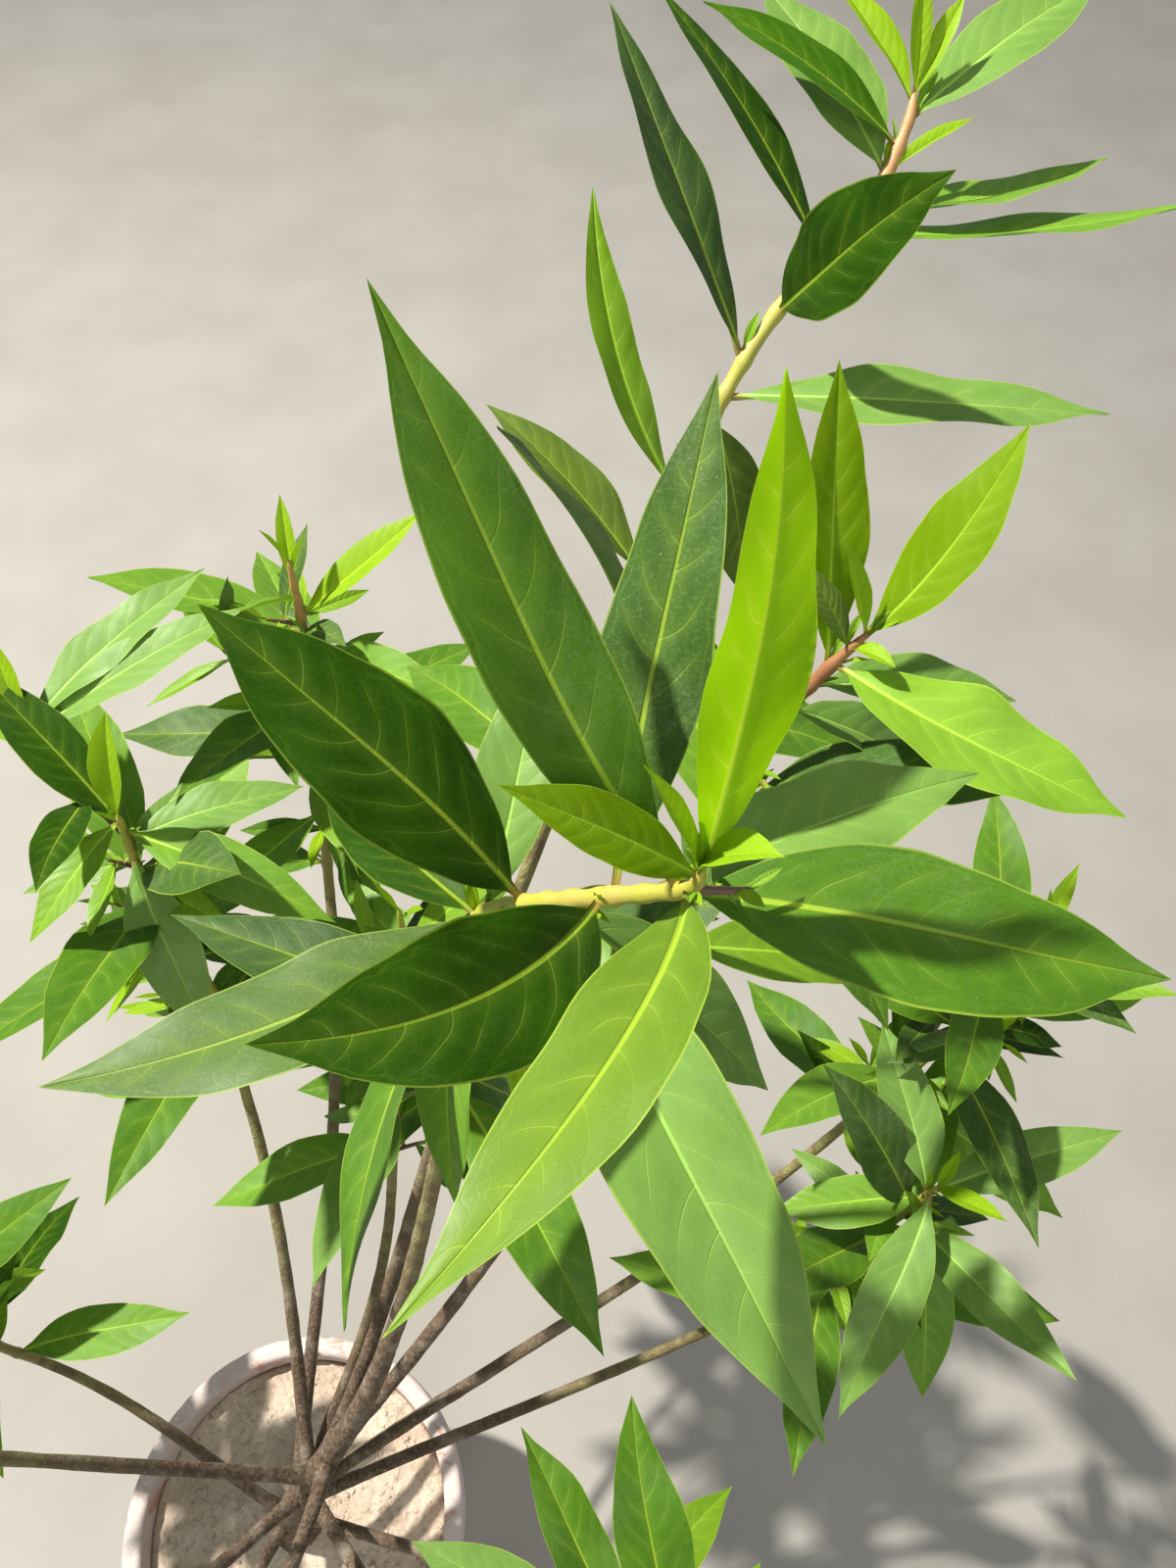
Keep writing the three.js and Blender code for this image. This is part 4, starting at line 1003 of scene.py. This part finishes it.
def makeLimbTree():
    given = openGeometry("sweptLimbs", {name: "Int" if name == "Sides" else "Float" for name in limbInputs})
    tree = given.tree
    girth, flare = (put(tree, "GeometryNodeInputNamedAttribute", {"Name": name}, data_type="FLOAT")
                    for name in ("girth", "flare"))
    curve = put(tree, "GeometryNodeMeshToCurve", {"Mesh": given["Geometry"]})
    ring = put(tree, "GeometryNodeCurvePrimitiveCircle", {"Resolution": given["Sides"], "Radius": 1.0})
    swept = put(tree, "GeometryNodeCurveToMesh", {"Curve": curve, "Profile Curve": ring, "Scale": girth,
                                                  "Fill Caps": True})
    place = put(tree, "GeometryNodeInputPosition")
    normal = put(tree, "GeometryNodeInputNormal")
    around, along = scaled(normal, given["Furrow scale"]), scaled(place, limbFinish["streakScale"])
    streaks = put(tree, "ShaderNodeVectorMath", {0: around, 1: along}, operation="ADD")
    furrow = (noiseAt(streaks, 1.0, 3) - 0.5) * given["Furrow depth"]
    lump = (noiseAt(place, given["Lump scale"], 1) - 0.5) * given["Lump depth"]
    parts = put(tree, "ShaderNodeSeparateXYZ", {0: normal})
    angle = calc("ARCTAN2", parts[1], parts[0])
    lobe = calc("COSINE", angle * limbFinish["lobes"]) * flare * given["Lobe depth"]
    offset = scaled(normal, (furrow + lump + lobe) * girth)
    moved = put(tree, "GeometryNodeSetPosition", {"Geometry": swept, "Offset": offset})
    return closeGeometry(moved, given["Material"])


def sweptPiece(name, kind, limbs, tree, material):  # each limb: its points, with girth, age and flare at each
    edges = []
    first = 0
    for limb in limbs:
        count = len(limb["points"])
        edges += [(first + i, first + i + 1) for i in range(count - 1)]
        first += count
    mesh = meshFrom(name, np.vstack([limb["points"] for limb in limbs]), [], edges)
    for label, scale in (("girth", mm), ("age", 1), ("flare", 1)):
        levels = [np.broadcast_to(limb.get(label, 0.0), len(limb["points"])) for limb in limbs]
        levels = (np.concatenate(levels) * scale).astype(np.float32)
        mesh.attributes.new(label, "FLOAT", "POINT").data.foreach_set("value", levels)
    piece = addPiece(name, mesh)
    applyTree(piece, tree, {**dict(zip(limbInputs, limbValues[kind])), "Material": material})
    if sum(face.center.dot(face.normal) * face.area for face in piece.data.polygons) < 0:
        piece.data.flip_normals()
    return piece


def trunkRadius(share):
    tall = trunkShape["line"][-1][2] - trunkShape["line"][0][2]
    flare = np.exp(-share * tall / trunkShape["flareHeight"])
    return blend(trunkShape["foot"], trunkShape["fork"], share) + trunkShape["flare"] * flare, flare


def boughLine(shoot, trunkLine):
    axis = tangentOn(shoot["line"], 0)[0]
    end = placeOn(shoot["line"], 0)[0] - axis * boughShape["gap"]
    top = np.array(trunkShape["line"][-1], float)
    fromFork = shoot["root"] >= top[2]
    shares = np.linspace(0, 1, 400)
    onTrunk = placeOn(trunkLine, np.interp(shoot["root"], placeOn(trunkLine, shares)[:, 2], shares))[0]
    start = top + tangentOn(trunkLine, 1)[0] * boughShape["gap"] if fromFork else onTrunk
    reach = np.linalg.norm(end - start)
    away = unit((end - start) * np.array([1, 1, 0]))
    rise = math.radians(boughShape["rootRise"])
    away = tangentOn(trunkLine, 1)[0] if fromFork else away * math.cos(rise) + up * math.sin(rise)
    line = bezierLine(start, start + away * reach * boughShape["rootPull"],
                      end - axis * reach * boughShape["tipPull"], end)
    root = blend(boughShape["shortRoot"], boughShape["longRoot"], reach / boughShape["longReach"])
    return line, (trunkShape["fork"] if fromFork else root), fromFork


def makeWood(plant, tree, material):
    trunkLine = smoothLine(trunkShape["line"])
    shares = np.concatenate([np.linspace(0, 0.12, 24)[:-1], np.linspace(0.12, 1, 90)])
    radius, flare = trunkRadius(shares)
    points = placeOn(trunkLine, shares)
    points = np.vstack([points[0] - up * limbFinish["bedded"], points])
    trunk = {"points": points, "girth": np.append(radius[0] * limbFinish["beddedSwell"], radius),
             "age": limbAges["wood"], "flare": np.append(1, flare)}
    cap = {"points": points[-1] + np.outer(np.linspace(0, 5, 6), tangentOn(trunkLine, 1)[0]),
           "girth": trunkShape["fork"] * np.cos(np.linspace(0, 1.4, 6)), "age": limbAges["wood"]}
    boughs = []
    for shoot in plant.values():
        line, root, fromFork = boughLine(shoot, trunkLine)
        shares = np.linspace(0, 1, max(30, int(line["long"] / 5)))
        away = shares * line["long"]
        girth = blend(root, boughShape["tip"], shares ** boughShape["taper"])
        if not fromFork:
            collar = np.exp(-np.maximum(away - limbFinish["collarFrom"], 0) / limbFinish["collarLong"])
            girth = girth * (1 + limbFinish["collar"] * collar)
        age = np.clip(1 - 1.05 * shares, limbAges["boughTip"], limbAges["wood"])
        boughs.append({"points": placeOn(line, shares), "girth": girth, "age": age})
    return [sweptPiece(kind + "Bark", kind, limbs, tree, material)
            for kind, limbs in (("trunk", [trunk, cap]), ("bough", boughs))]


def stemGirth(line, shares, leaves):
    down = (1 - shares) * line["long"]
    long = stemShape["neckLong"]
    low = blend(stemShape["neck"], stemShape["foot"], (down - long) / (line["long"] - long))
    tip = blend(stemShape["tip"], stemShape["neck"], np.minimum(down / long, 1) ** stemShape["taper"])
    girth = np.where(down > long, low, tip)
    for leaf in leaves:
        if leaf["long"] > limbFinish["nodeLeaf"] and not leaf.get("side"):
            away = (shares - leaf["share"]) * line["long"]
            girth = girth * (1 + limbFinish["nodeSwell"] * np.exp(-(away / limbFinish["nodeLong"]) ** 2))
    return girth


def makeStems(plant, tree, materials):
    stems = {"stemGreen": [], "stemPink": [], "stemRed": []}
    twigs = []
    for name, shoot in plant.items():
        line = shoot["line"]
        shares = np.linspace(0, 1, int(line["long"] / limbFinish["stemStep"]))
        girth = stemGirth(line, shares, shoot["leaves"])
        girth[-3:] = girth[-4] * np.array(limbFinish["stemEnd"])
        points = placeOn(line, shares)
        points = np.vstack([points[0] - tangentOn(line, 0)[0] * limbFinish["stemFoot"], points])
        age = np.append(limbAges["stem"], limbAges["stem"] * (1 - shares) ** 1.4)
        kind = stemTints.get(name, "stemGreen")
        stems[kind].append({"points": points, "girth": np.append(girth[0], girth), "age": age})
        for rows, lines in (("twigRows", shoot["twigs"]), ("sprigRows", shoot["sprigs"])):
            shares = np.linspace(0, 1, limbFinish[rows])
            twigs += [{"points": placeOn(twig, shares), "age": limbAges["twig"],
                       "girth": blend(twigShape["root"], twigShape["tip"], shares)} for twig in lines]
    pieces = [sweptPiece(kind, "stem", limbs, tree, materials[kind]) for kind, limbs in stems.items()]
    return pieces + [sweptPiece("sideTwigs", "twig", twigs, tree, materials["twig"])]


barkColours = {"old": (0.20, 0.135, 0.085), "oldDark": (0.085, 0.055, 0.035), "oldPale": (0.36, 0.3, 0.23),
               "young": (0.28, 0.26, 0.09), "youngDark": (0.19, 0.14, 0.06), "lenticel": (0.46, 0.37, 0.26)}
barkFinish = {"stretch": (420.0, 420.0, 60.0), "streaks": (1.0, 4, 0.36, 0.62, 0.65),
              "pale": (55, 3, 0.5, 0.68), "youngDark": (90, 3, 0.4, 0.62), "turning": (0.15, 0.62),
              "grain": 260.0,
              "lenticelStretch": (240.0, 240.0, 150.0), "lenticels": (0.2, 0.1), "roughness": 0.78,
              "dust": {"Patches": 30.0, "Specks": 900.0, "Amount": 0.35}, "bump": (0.7, 0.0011)}
stemColours = {
    "stemGreen": {"skin": (0.40, 0.445, 0.040), "flush": (0.50, 0.335, 0.11), "older": (0.30, 0.26, 0.09),
                  "tip": (0.43, 0.40, 0.065), "flushed": 0.5},
    "stemPink": {"skin": (0.46, 0.45, 0.07), "flush": (0.52, 0.30, 0.12), "older": (0.34, 0.29, 0.09),
                 "tip": (0.56, 0.25, 0.13), "flushed": 0.35},
    "stemRed": {"skin": (0.30, 0.11, 0.055), "flush": (0.36, 0.2, 0.07), "older": (0.22, 0.11, 0.06),
                "tip": (0.34, 0.14, 0.06), "flushed": 0.5},
    "twig": {"skin": (0.17, 0.09, 0.065), "flush": (0.26, 0.22, 0.07), "older": (0.15, 0.09, 0.06),
             "tip": (0.20, 0.13, 0.06), "flushed": 0.4},
}
stemFinish = {"flush": (60, 2, 0.5, 0.7), "stretch": (260.0, 260.0, 36.0), "streaks": (1.0, 3, 0.5, 0.68),
              "young": (0.055, 0.012), "older": (0.08, 0.3), "grain": 500.0, "bump": (0.35, 0.0004),
              "roughness": 0.3,
              "inside": {"Subsurface Weight": 0.12, "Subsurface Radius": (0.002, 0.003, 0.001),
                         "Subsurface Scale": 0.5}}


def barkMaterial():
    material, place = openMaterial("bark")
    age, paint, look = attribute(place.tree, "age"), barkColours, barkFinish
    streak = patches(stretched(place, look["stretch"]), *look["streaks"])
    old = coat(mixColour(streak, paint["oldDark"], paint["old"]),
               (patches(place, *look["pale"]), 0.6, paint["oldPale"]))
    young = mixColour(patches(place, *look["youngDark"]), paint["young"], paint["youngDark"])
    tall = stretched(place, look["lenticelStretch"])
    cells = put(place.tree, "ShaderNodeTexVoronoi", {"Vector": tall, "Scale": 1.0})
    lenticel = ramp(cells, *look["lenticels"])
    grain = fromGroup(place.tree, "grain", Place=place, Scale=look["grain"])
    dust = fromGroup(place.tree, "dust", Place=place, **look["dust"])
    skin = coat(mixColour(ramp(age + (streak - 0.5) * 0.3, *look["turning"]), young, old),
                (lenticel, 0.7, paint["lenticel"]), (dust, 0.5, paint["oldPale"]))
    height = grain["Height"] * 0.5 + streak * 0.6 + lenticel * 0.4
    return closeMaterial(material, surfaceOf(skin, look["roughness"], bumpFrom(height, *look["bump"])))


def stemMaterial(name, paint):
    material, place = openMaterial(name)
    age, look = attribute(place.tree, "age"), stemFinish
    streaks = patches(stretched(place, look["stretch"]), *look["streaks"])
    flush = calc("MAXIMUM", patches(place, *look["flush"]), streaks)
    grain = fromGroup(place.tree, "grain", Place=place, Scale=look["grain"])
    skin = coat(paint["skin"], (ramp(age, *look["young"]), 0.8, paint["tip"]),
                (flush, paint["flushed"], paint["flush"]), (ramp(age, *look["older"]), 1, paint["older"]),
                (grain["Pits"], 0.3, paint["older"]))
    roughness = grain["Height"] * 0.25 + look["roughness"]
    bump = bumpFrom(grain["Height"], *look["bump"])
    return closeMaterial(material, surfaceOf(skin, roughness, bump, look["inside"]))


# Pot: a thrown clay wall, slightly uneven, with worn and chipped edges

potShape = {"height": 220, "foot": 80, "shoulder": 116, "rim": 125, "rimTall": 30, "rimWide": 14,
            "wall": 10, "floor": 14, "edge": 3, "insideStep": 1, "around": 192, "holeRadius": 6,
            "holeCircle": 45, "holes": 3, "footEdge": 4, "rimEdge": 4.5, "uneven": 0.7, "throwing": 0.18,
            "rough": 0.22, "chips": 26, "chipWide": (1.5, 5.5), "chipDeep": (0.6, 2.0), "rimWorn": 0.7}


def arc(across, height, size, start, end, count):
    turns = np.linspace(start, end, count)
    return [(across + size * math.cos(a), height + size * math.sin(a)) for a in turns]


def potProfile():  # radius and height from the middle of the underside, out, up, over the rim and in
    p = potShape
    neck = p["height"] - p["rimTall"]
    lip = p["rim"] - p["rimWide"]
    inside, inner = p["foot"] - p["wall"], lip - p["insideStep"]
    quarter, edge = math.pi / 2, p["rimEdge"]
    return [
        *((r, 0.0) for r in (0.0, 20, 30, 38, 52, 60, 70)),
        *arc(p["foot"] - p["footEdge"], p["footEdge"], p["footEdge"], -quarter, 0, 6),
        *((blend(p["foot"], p["shoulder"], (z - 4) / (neck - 4)), z) for z in np.linspace(7, neck - 3, 46)),
        (p["shoulder"] + 0.4, neck - 1), (p["shoulder"] + 3.5, neck + 1.2), (p["rim"] - 2.4, neck + 3.2),
        (p["rim"] - 0.6, neck + 5.5), (p["rim"], neck + 8),
        *((p["rim"], z) for z in np.linspace(neck + 10, p["height"] - 7, 8)),
        *arc(p["rim"] - edge, p["height"] - edge, edge, 0, quarter, 8),
        *arc(lip + edge, p["height"] - edge, edge, quarter, math.pi, 8),
        *((lip - p["insideStep"] * t, blend(p["height"] - 8, neck, t)) for t in np.linspace(0, 1, 8)),
        *((blend(inner, inside, t), blend(neck, p["floor"] + 2, t)) for t in np.linspace(0.06, 1, 12)),
        *((r, p["floor"]) for r in (inside - 3, 52, 38, 20, 0.0))]


def ringPlaces(around):
    return [(a, math.cos(a), math.sin(a)) for a in (2 * math.pi * k / around for k in range(around))]


def turnedMesh(name, corners, rings, around, inward=False):  # rings, closed by one corner at each end
    faces = []
    for k in range(around):
        n = (k + 1) % around
        faces.append((0, 1 + n, 1 + k))
        for low in range(1, 1 + (rings - 1) * around, around):
            faces.append((low + k, low + n, low + around + n, low + around + k))
        last = 1 + (rings - 1) * around
        faces.append((last + k, last + n, len(corners) - 1))
    if inward:
        faces = [face[:1] + face[:0:-1] for face in faces]
    return meshFrom(name, corners, faces)


def potMesh():
    p, profile = potShape, potProfile()
    draw = makeDraw(5)
    chips = [(draw() * 2 * math.pi, draw() > 0.5, blend(*p["chipWide"], draw() ** 2),
              blend(*p["chipDeep"], draw())) for _ in range(p["chips"])]
    corners = [(0.0, 0.0, 0.0)]
    for r, z in profile[1:-1]:
        outer = r > p["rim"] - p["rimWide"] / 2
        for a, c, s in ringPlaces(p["around"]):
            swell = noise.noise(Vector((c * 1.3, s * 1.3, z / 110))) * p["uneven"]
            rings = math.sin(z * 0.9 + 1.5 * noise.noise(Vector((c, s, z / 30)))) * p["throwing"]
            rough = noise.noise(Vector((c * r / 7, s * r / 7, z / 7))) * p["rough"]
            move = (swell + rings * (4 < z < 190) + rough) * (1.0 if z > 6 else 0.3) * min(r / 40, 1)
            drop = 0.0
            if z > p["height"] - 5.5:
                drop = p["rimWorn"] * noise.noise(Vector((c * 2.2, s * 2.2, 9.0)))
                for turn, outside, wide, deep in chips:
                    if outside == outer:
                        away = abs((a - turn + math.pi) % (2 * math.pi) - math.pi) * p["rim"]
                        cut = deep * math.exp(-(away / wide) ** 4)
                        drop -= cut * 0.7
                        move -= cut * (0.8 if outer else -0.8)
            if r < p["rim"] - p["rimWide"] + 1 and z > p["floor"]:
                move = max(move, -0.2)
            corners.append(((r + move) * c, (r + move) * s, z + drop))
    corners.append((0.0, 0.0, float(p["floor"])))
    return turnedMesh("potWall", corners, len(profile) - 2, p["around"])


def makePot(material):
    pot = addPiece("potWall", potMesh())
    for _, c, s in ringPlaces(potShape["holes"]):
        circle = potShape["holeCircle"] * mm
        bpy.ops.mesh.primitive_cylinder_add(vertices=32, radius=potShape["holeRadius"] * mm, depth=0.05,
                                            location=(circle * c, circle * s, potShape["floor"] / 2 * mm))
        drill = bpy.context.object
        cut = pot.modifiers.new("drainHole", "BOOLEAN")
        cut.operation = "DIFFERENCE"
        cut.object = drill
        applyModifiers(pot)
        bpy.data.objects.remove(drill)
    pot.data.materials.clear()
    pot.data.materials.append(material)
    return pot


clayColours = {"clay": (0.56, 0.25, 0.15), "clayDark": (0.36, 0.155, 0.09), "bloom": (0.71, 0.625, 0.595),
               "lime": (0.82, 0.765, 0.755), "damp": (0.24, 0.14, 0.09)}
clayFinish = {"clay": (18, 4, 0.36, 0.66), "drifts": (24.0, 24.0, 9.0), "driftNoise": (1.0, 6, 0.62, 0.4),
              "nearRim": (0.14, 0.212), "bloom": (0.44, 0.68), "crust": (130, 4, 0.56, 0.68, 0.7),
              "wornNoise": (34, 5, 0.6, 0.8), "worn": (0.6, 0.68), "dampRise": 0.05,
              "damp": (22, 4, 0.35, 0.6), "grain": 320.0,
              "dust": {"Patches": 26.0, "Specks": 1300.0, "Amount": 0.5}, "roughness": 0.88,
              "bump": (0.6, 0.0009), "shine": {"Specular IOR Level": 0.25}}


def clayMaterial():
    material, place = openMaterial("weatheredClay")
    paint, look = clayColours, clayFinish
    height = put(place.tree, "ShaderNodeSeparateXYZ", {0: place})[2]
    nearRim = ramp(height, *look["nearRim"])
    drifts = noiseAt(stretched(place, look["drifts"]), *look["driftNoise"])
    bloom = ramp(drifts + nearRim * 0.26, *look["bloom"])
    crust = patches(place, *look["crust"]) * (nearRim * 0.6 + 0.15)
    worn = ramp(noiseAt(place, *look["wornNoise"]) + nearRim * 0.02, *look["worn"])
    damp = ramp(height, look["dampRise"], 0.0) * patches(place, *look["damp"])
    grain = fromGroup(place.tree, "grain", Place=place, Scale=look["grain"])
    dust = fromGroup(place.tree, "dust", Place=place, **look["dust"])
    skin = coat(mixColour(patches(place, *look["clay"]), paint["clay"], paint["clayDark"]),
                (bloom, 0.88, paint["bloom"]), (crust, 1, paint["lime"]), (worn, 0.75, paint["clay"]),
                (damp, 0.7, paint["damp"]), (grain["Pits"], 0.4, paint["clayDark"]),
                (dust, 0.6, paint["lime"]))
    relief = grain["Height"] * 0.5 + crust * 0.5 - worn * 0.3
    bump = bumpFrom(relief, *look["bump"])
    return closeMaterial(material, surfaceOf(skin, look["roughness"], bump, look["shine"]))


# Soil: settled and dried, with clods, hollows and loose crumbs

soilShape = {"top": 200, "dip": 3, "outerRing": 0.78, "innerRing": 0.5, "innerDip": 1.8, "settled": 1,
             "flat": 26, "rings": 84, "around": 240, "clear": 0.4, "relief": 1.5, "clods": 2.4,
             "shrunk": 2.2, "calm": (14, 22)}
crumbShape = {"density": 42000.0, "size": 0.0011, "seed": 4, "upward": 0.6, "drift": (0.4, 0.66, 0.12),
              "rough": 1.8, "grades": (4.0, 2.2, 0.35), "flat": 0.7}


def potInside(z):
    p = potShape
    neck, mouth = p["height"] - p["rimTall"], p["rim"] - p["rimWide"]
    if z > neck:
        return blend(mouth - p["insideStep"], mouth, (z - neck) / (p["rimTall"] - p["edge"]))
    return blend(p["foot"] - p["wall"], mouth - p["insideStep"], (z - p["floor"]) / (neck - p["floor"]))


def soilMesh():
    shape = soilShape
    top, mouth, clear = shape["top"], potInside(shape["top"]), shape["clear"]
    knots = ([0, shape["flat"], mouth * shape["innerRing"], mouth * shape["outerRing"], mouth - clear],
             [top, top, top - shape["innerDip"], top - shape["dip"], top - shape["settled"]])
    corners = [(0.0, 0.0, float(top))]
    for r in np.linspace(mouth - clear, 0, shape["rings"], endpoint=False)[::-1]:
        level = float(np.interp(r, *knots))
        shrunk = shape["shrunk"] * math.exp(-((mouth - r) / 1.6) ** 2)
        awayFromTrunk = float(ease((r - shape["calm"][0]) / shape["calm"][1]))
        for _, c, s in ringPlaces(shape["around"]):
            x, y = r * c, r * s
            bed = noise.fractal(Vector((x / 34, y / 34, 3.0)), 0.9, 2.1, 4) * shape["relief"]
            clods = abs(noise.noise(Vector((x / 9, y / 9, 7.0)))) ** 0.7 * shape["clods"]
            corners.append((x, y, level + (bed + clods - 1.0) * awayFromTrunk - shrunk))
    lows = (190, 110, 40, 15)
    for z in lows:
        r = potInside(z) - clear
        corners += [(r * c, r * s, z) for _, c, s in ringPlaces(shape["around"])]
    corners.append((0.0, 0.0, float(lows[-1])))
    return turnedMesh("soilBed", corners, shape["rings"] + len(lows), shape["around"], inward=True)


def makeCrumbTree():
    given = openGeometry("looseCrumbs", {"Density": "Float", "Size": "Float", "Seed": "Int"})
    tree, shape = given.tree, crumbShape
    power, most, least = shape["grades"]
    place = put(tree, "GeometryNodeInputPosition")
    normal = put(tree, "GeometryNodeInputNormal")
    facing = put(tree, "ShaderNodeSeparateXYZ", {0: normal})[2]
    upward = put(tree, "FunctionNodeCompare", {0: facing, 1: shape["upward"]}, data_type="FLOAT",
                 operation="GREATER_THAN")
    points = put(tree, "GeometryNodeDistributePointsOnFaces", {
        "Mesh": given["Geometry"], "Selection": upward, "Seed": given["Seed"],
        "Density": given["Density"] * ramp(noiseAt(place, 38, 2), *shape["drift"])})
    ball = put(tree, "GeometryNodeMeshIcoSphere", {"Radius": given["Size"], "Subdivisions": 2})
    rough = (noiseAt(scaled(place, 900.0), 1.0, 1) - 0.5) * (given["Size"] * shape["rough"])
    crumb = put(tree, "GeometryNodeSetPosition", {"Geometry": ball, "Offset": scaled(normal, rough)})
    size = put(tree, "FunctionNodeRandomValue", {2: 0.0, 3: 1.0, 8: 21}, data_type="FLOAT")[1]
    turn = put(tree, "FunctionNodeRandomValue", {1: (6.28, 6.28, 6.28), 8: 8}, data_type="FLOAT_VECTOR")
    grade = calc("POWER", size, power) * most + least
    spread = {"Points": points, "Instance": crumb, "Rotation": turn,
              "Scale": join(grade, grade, grade * shape["flat"])}
    return closeGeometry(put(tree, "GeometryNodeInstanceOnPoints", spread), given["Material"])


def makeSoil(material):
    bed = addPiece("soilBed", soilMesh())
    bed.data.materials.append(material)
    crumbs = addPiece("soilCrumbs", bed.data.copy())
    values = {"Density": crumbShape["density"], "Size": crumbShape["size"], "Seed": crumbShape["seed"]}
    applyTree(crumbs, makeCrumbTree(), {**values, "Material": material})
    return [bed, crumbs]


soilColours = {"dry": (0.62, 0.49, 0.375), "pale": (0.76, 0.63, 0.50), "shade": (0.30, 0.22, 0.145),
               "grit": (0.62, 0.58, 0.5), "husk": (0.3, 0.15, 0.08)}
soilFinish = {"pale": (24, 4, 0.35, 0.65), "grain": 260.0, "hollows": (0.66, 0.44),
              "creases": (80, 4, 0.45, 0.33, 0.66, 0.7), "grit": (420.0, (0.3, 0.16), 0, (0.78, 0.84)),
              "husks": (150.0, (0.16, 0.1), 1, (0.86, 0.9)), "roughness": 0.95, "bump": (0.9, 0.0016),
              "shine": {"Specular IOR Level": 0.15}}


def scattered(place, scale, reach, channel, chance):  # spots in a few cells of a pattern
    cells = put(place.tree, "ShaderNodeTexVoronoi", {"Vector": place, "Scale": scale})
    drawn = put(place.tree, "ShaderNodeSeparateColor", {0: cells["Color"]})[channel]
    return ramp(cells["Distance"], *reach) * ramp(drawn, *chance)


def soilMaterial():
    material, place = openMaterial("drySoil")
    paint, look = soilColours, soilFinish
    grain = fromGroup(place.tree, "grain", Place=place, Scale=look["grain"])
    crease = patches(place, *look["creases"])
    skin = coat(mixColour(patches(place, *look["pale"]), paint["dry"], paint["pale"]),
                (ramp(grain["Height"], *look["hollows"]), 0.55, paint["shade"]),
                (crease, 0.34, paint["shade"]), (scattered(place, *look["grit"]), 1, paint["grit"]),
                (scattered(place, *look["husks"]), 0.8, paint["husk"]))
    bump = bumpFrom(crease * -0.5 + grain["Height"], *look["bump"])
    return closeMaterial(material, surfaceOf(skin, look["roughness"], bump, look["shine"]))


# Ground: a pale floor that only the pictures show

ground = {"half": 4500, "colour": (0.40, 0.38, 0.345), "worn": (0.36, 0.34, 0.305),
          "mottle": (5, 5, 0.3, 0.7), "roughness": 0.85, "bump": (0.2, 0.001)}


def makeFloor():
    corners = [(x * ground["half"], y * ground["half"], 0) for x, y in ((-1, -1), (1, -1), (1, 1), (-1, 1))]
    mesh = meshFrom("floor", corners, [(0, 1, 2, 3)])
    material, place = openMaterial("paleFloor")
    skin = mixColour(patches(place, *ground["mottle"]), ground["colour"], ground["worn"])
    bump = bumpFrom(noiseAt(place, 160, 3), *ground["bump"])
    mesh.materials.append(closeMaterial(material, surfaceOf(skin, ground["roughness"], bump)))
    addPiece("floor", mesh)


# Building the plant, from the ground up

makeCamera()
makeLight()
makeFloor()
print("camera, light and floor are set")

groups = {"dust": makeDustGroup(), "grain": makeGrainGroup(), "veins": makeVeinGroup()}
pot = makePot(clayMaterial())
soil = makeSoil(soilMaterial())
print("pot and soil are made")

plant = growPlant()
limbTree = makeLimbTree()
trunkBark, boughBark = makeWood(plant, limbTree, barkMaterial())
stems = makeStems(plant, limbTree, {name: stemMaterial(name, paint) for name, paint in stemColours.items()})
print("trunk, boughs and stems are made")

leaves = makeLeaves(plant)
print("leaves are made")

shootNodes = ["shoot_" + name for name in shoots]
standIns = [(pot, "clay", ["pot"]), (soil[0], "soil", ["soil"]), (soil[1], "soil", ["soil"]),
            (trunkBark, "bark", ["trunk"]), (boughBark, "bark", ["bough_" + name for name in shoots])]
standIns += [(piece, "leaves", shootNodes) for piece in stems + leaves]
for piece, slot, nodes in standIns:
    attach(piece, "root")
    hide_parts(*nodes)

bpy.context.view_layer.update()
triangles = sum(len(face.vertices) - 2 for piece, *_ in standIns for face in piece.data.polygons)
print("pieces", len(standIns), "triangles", triangles)
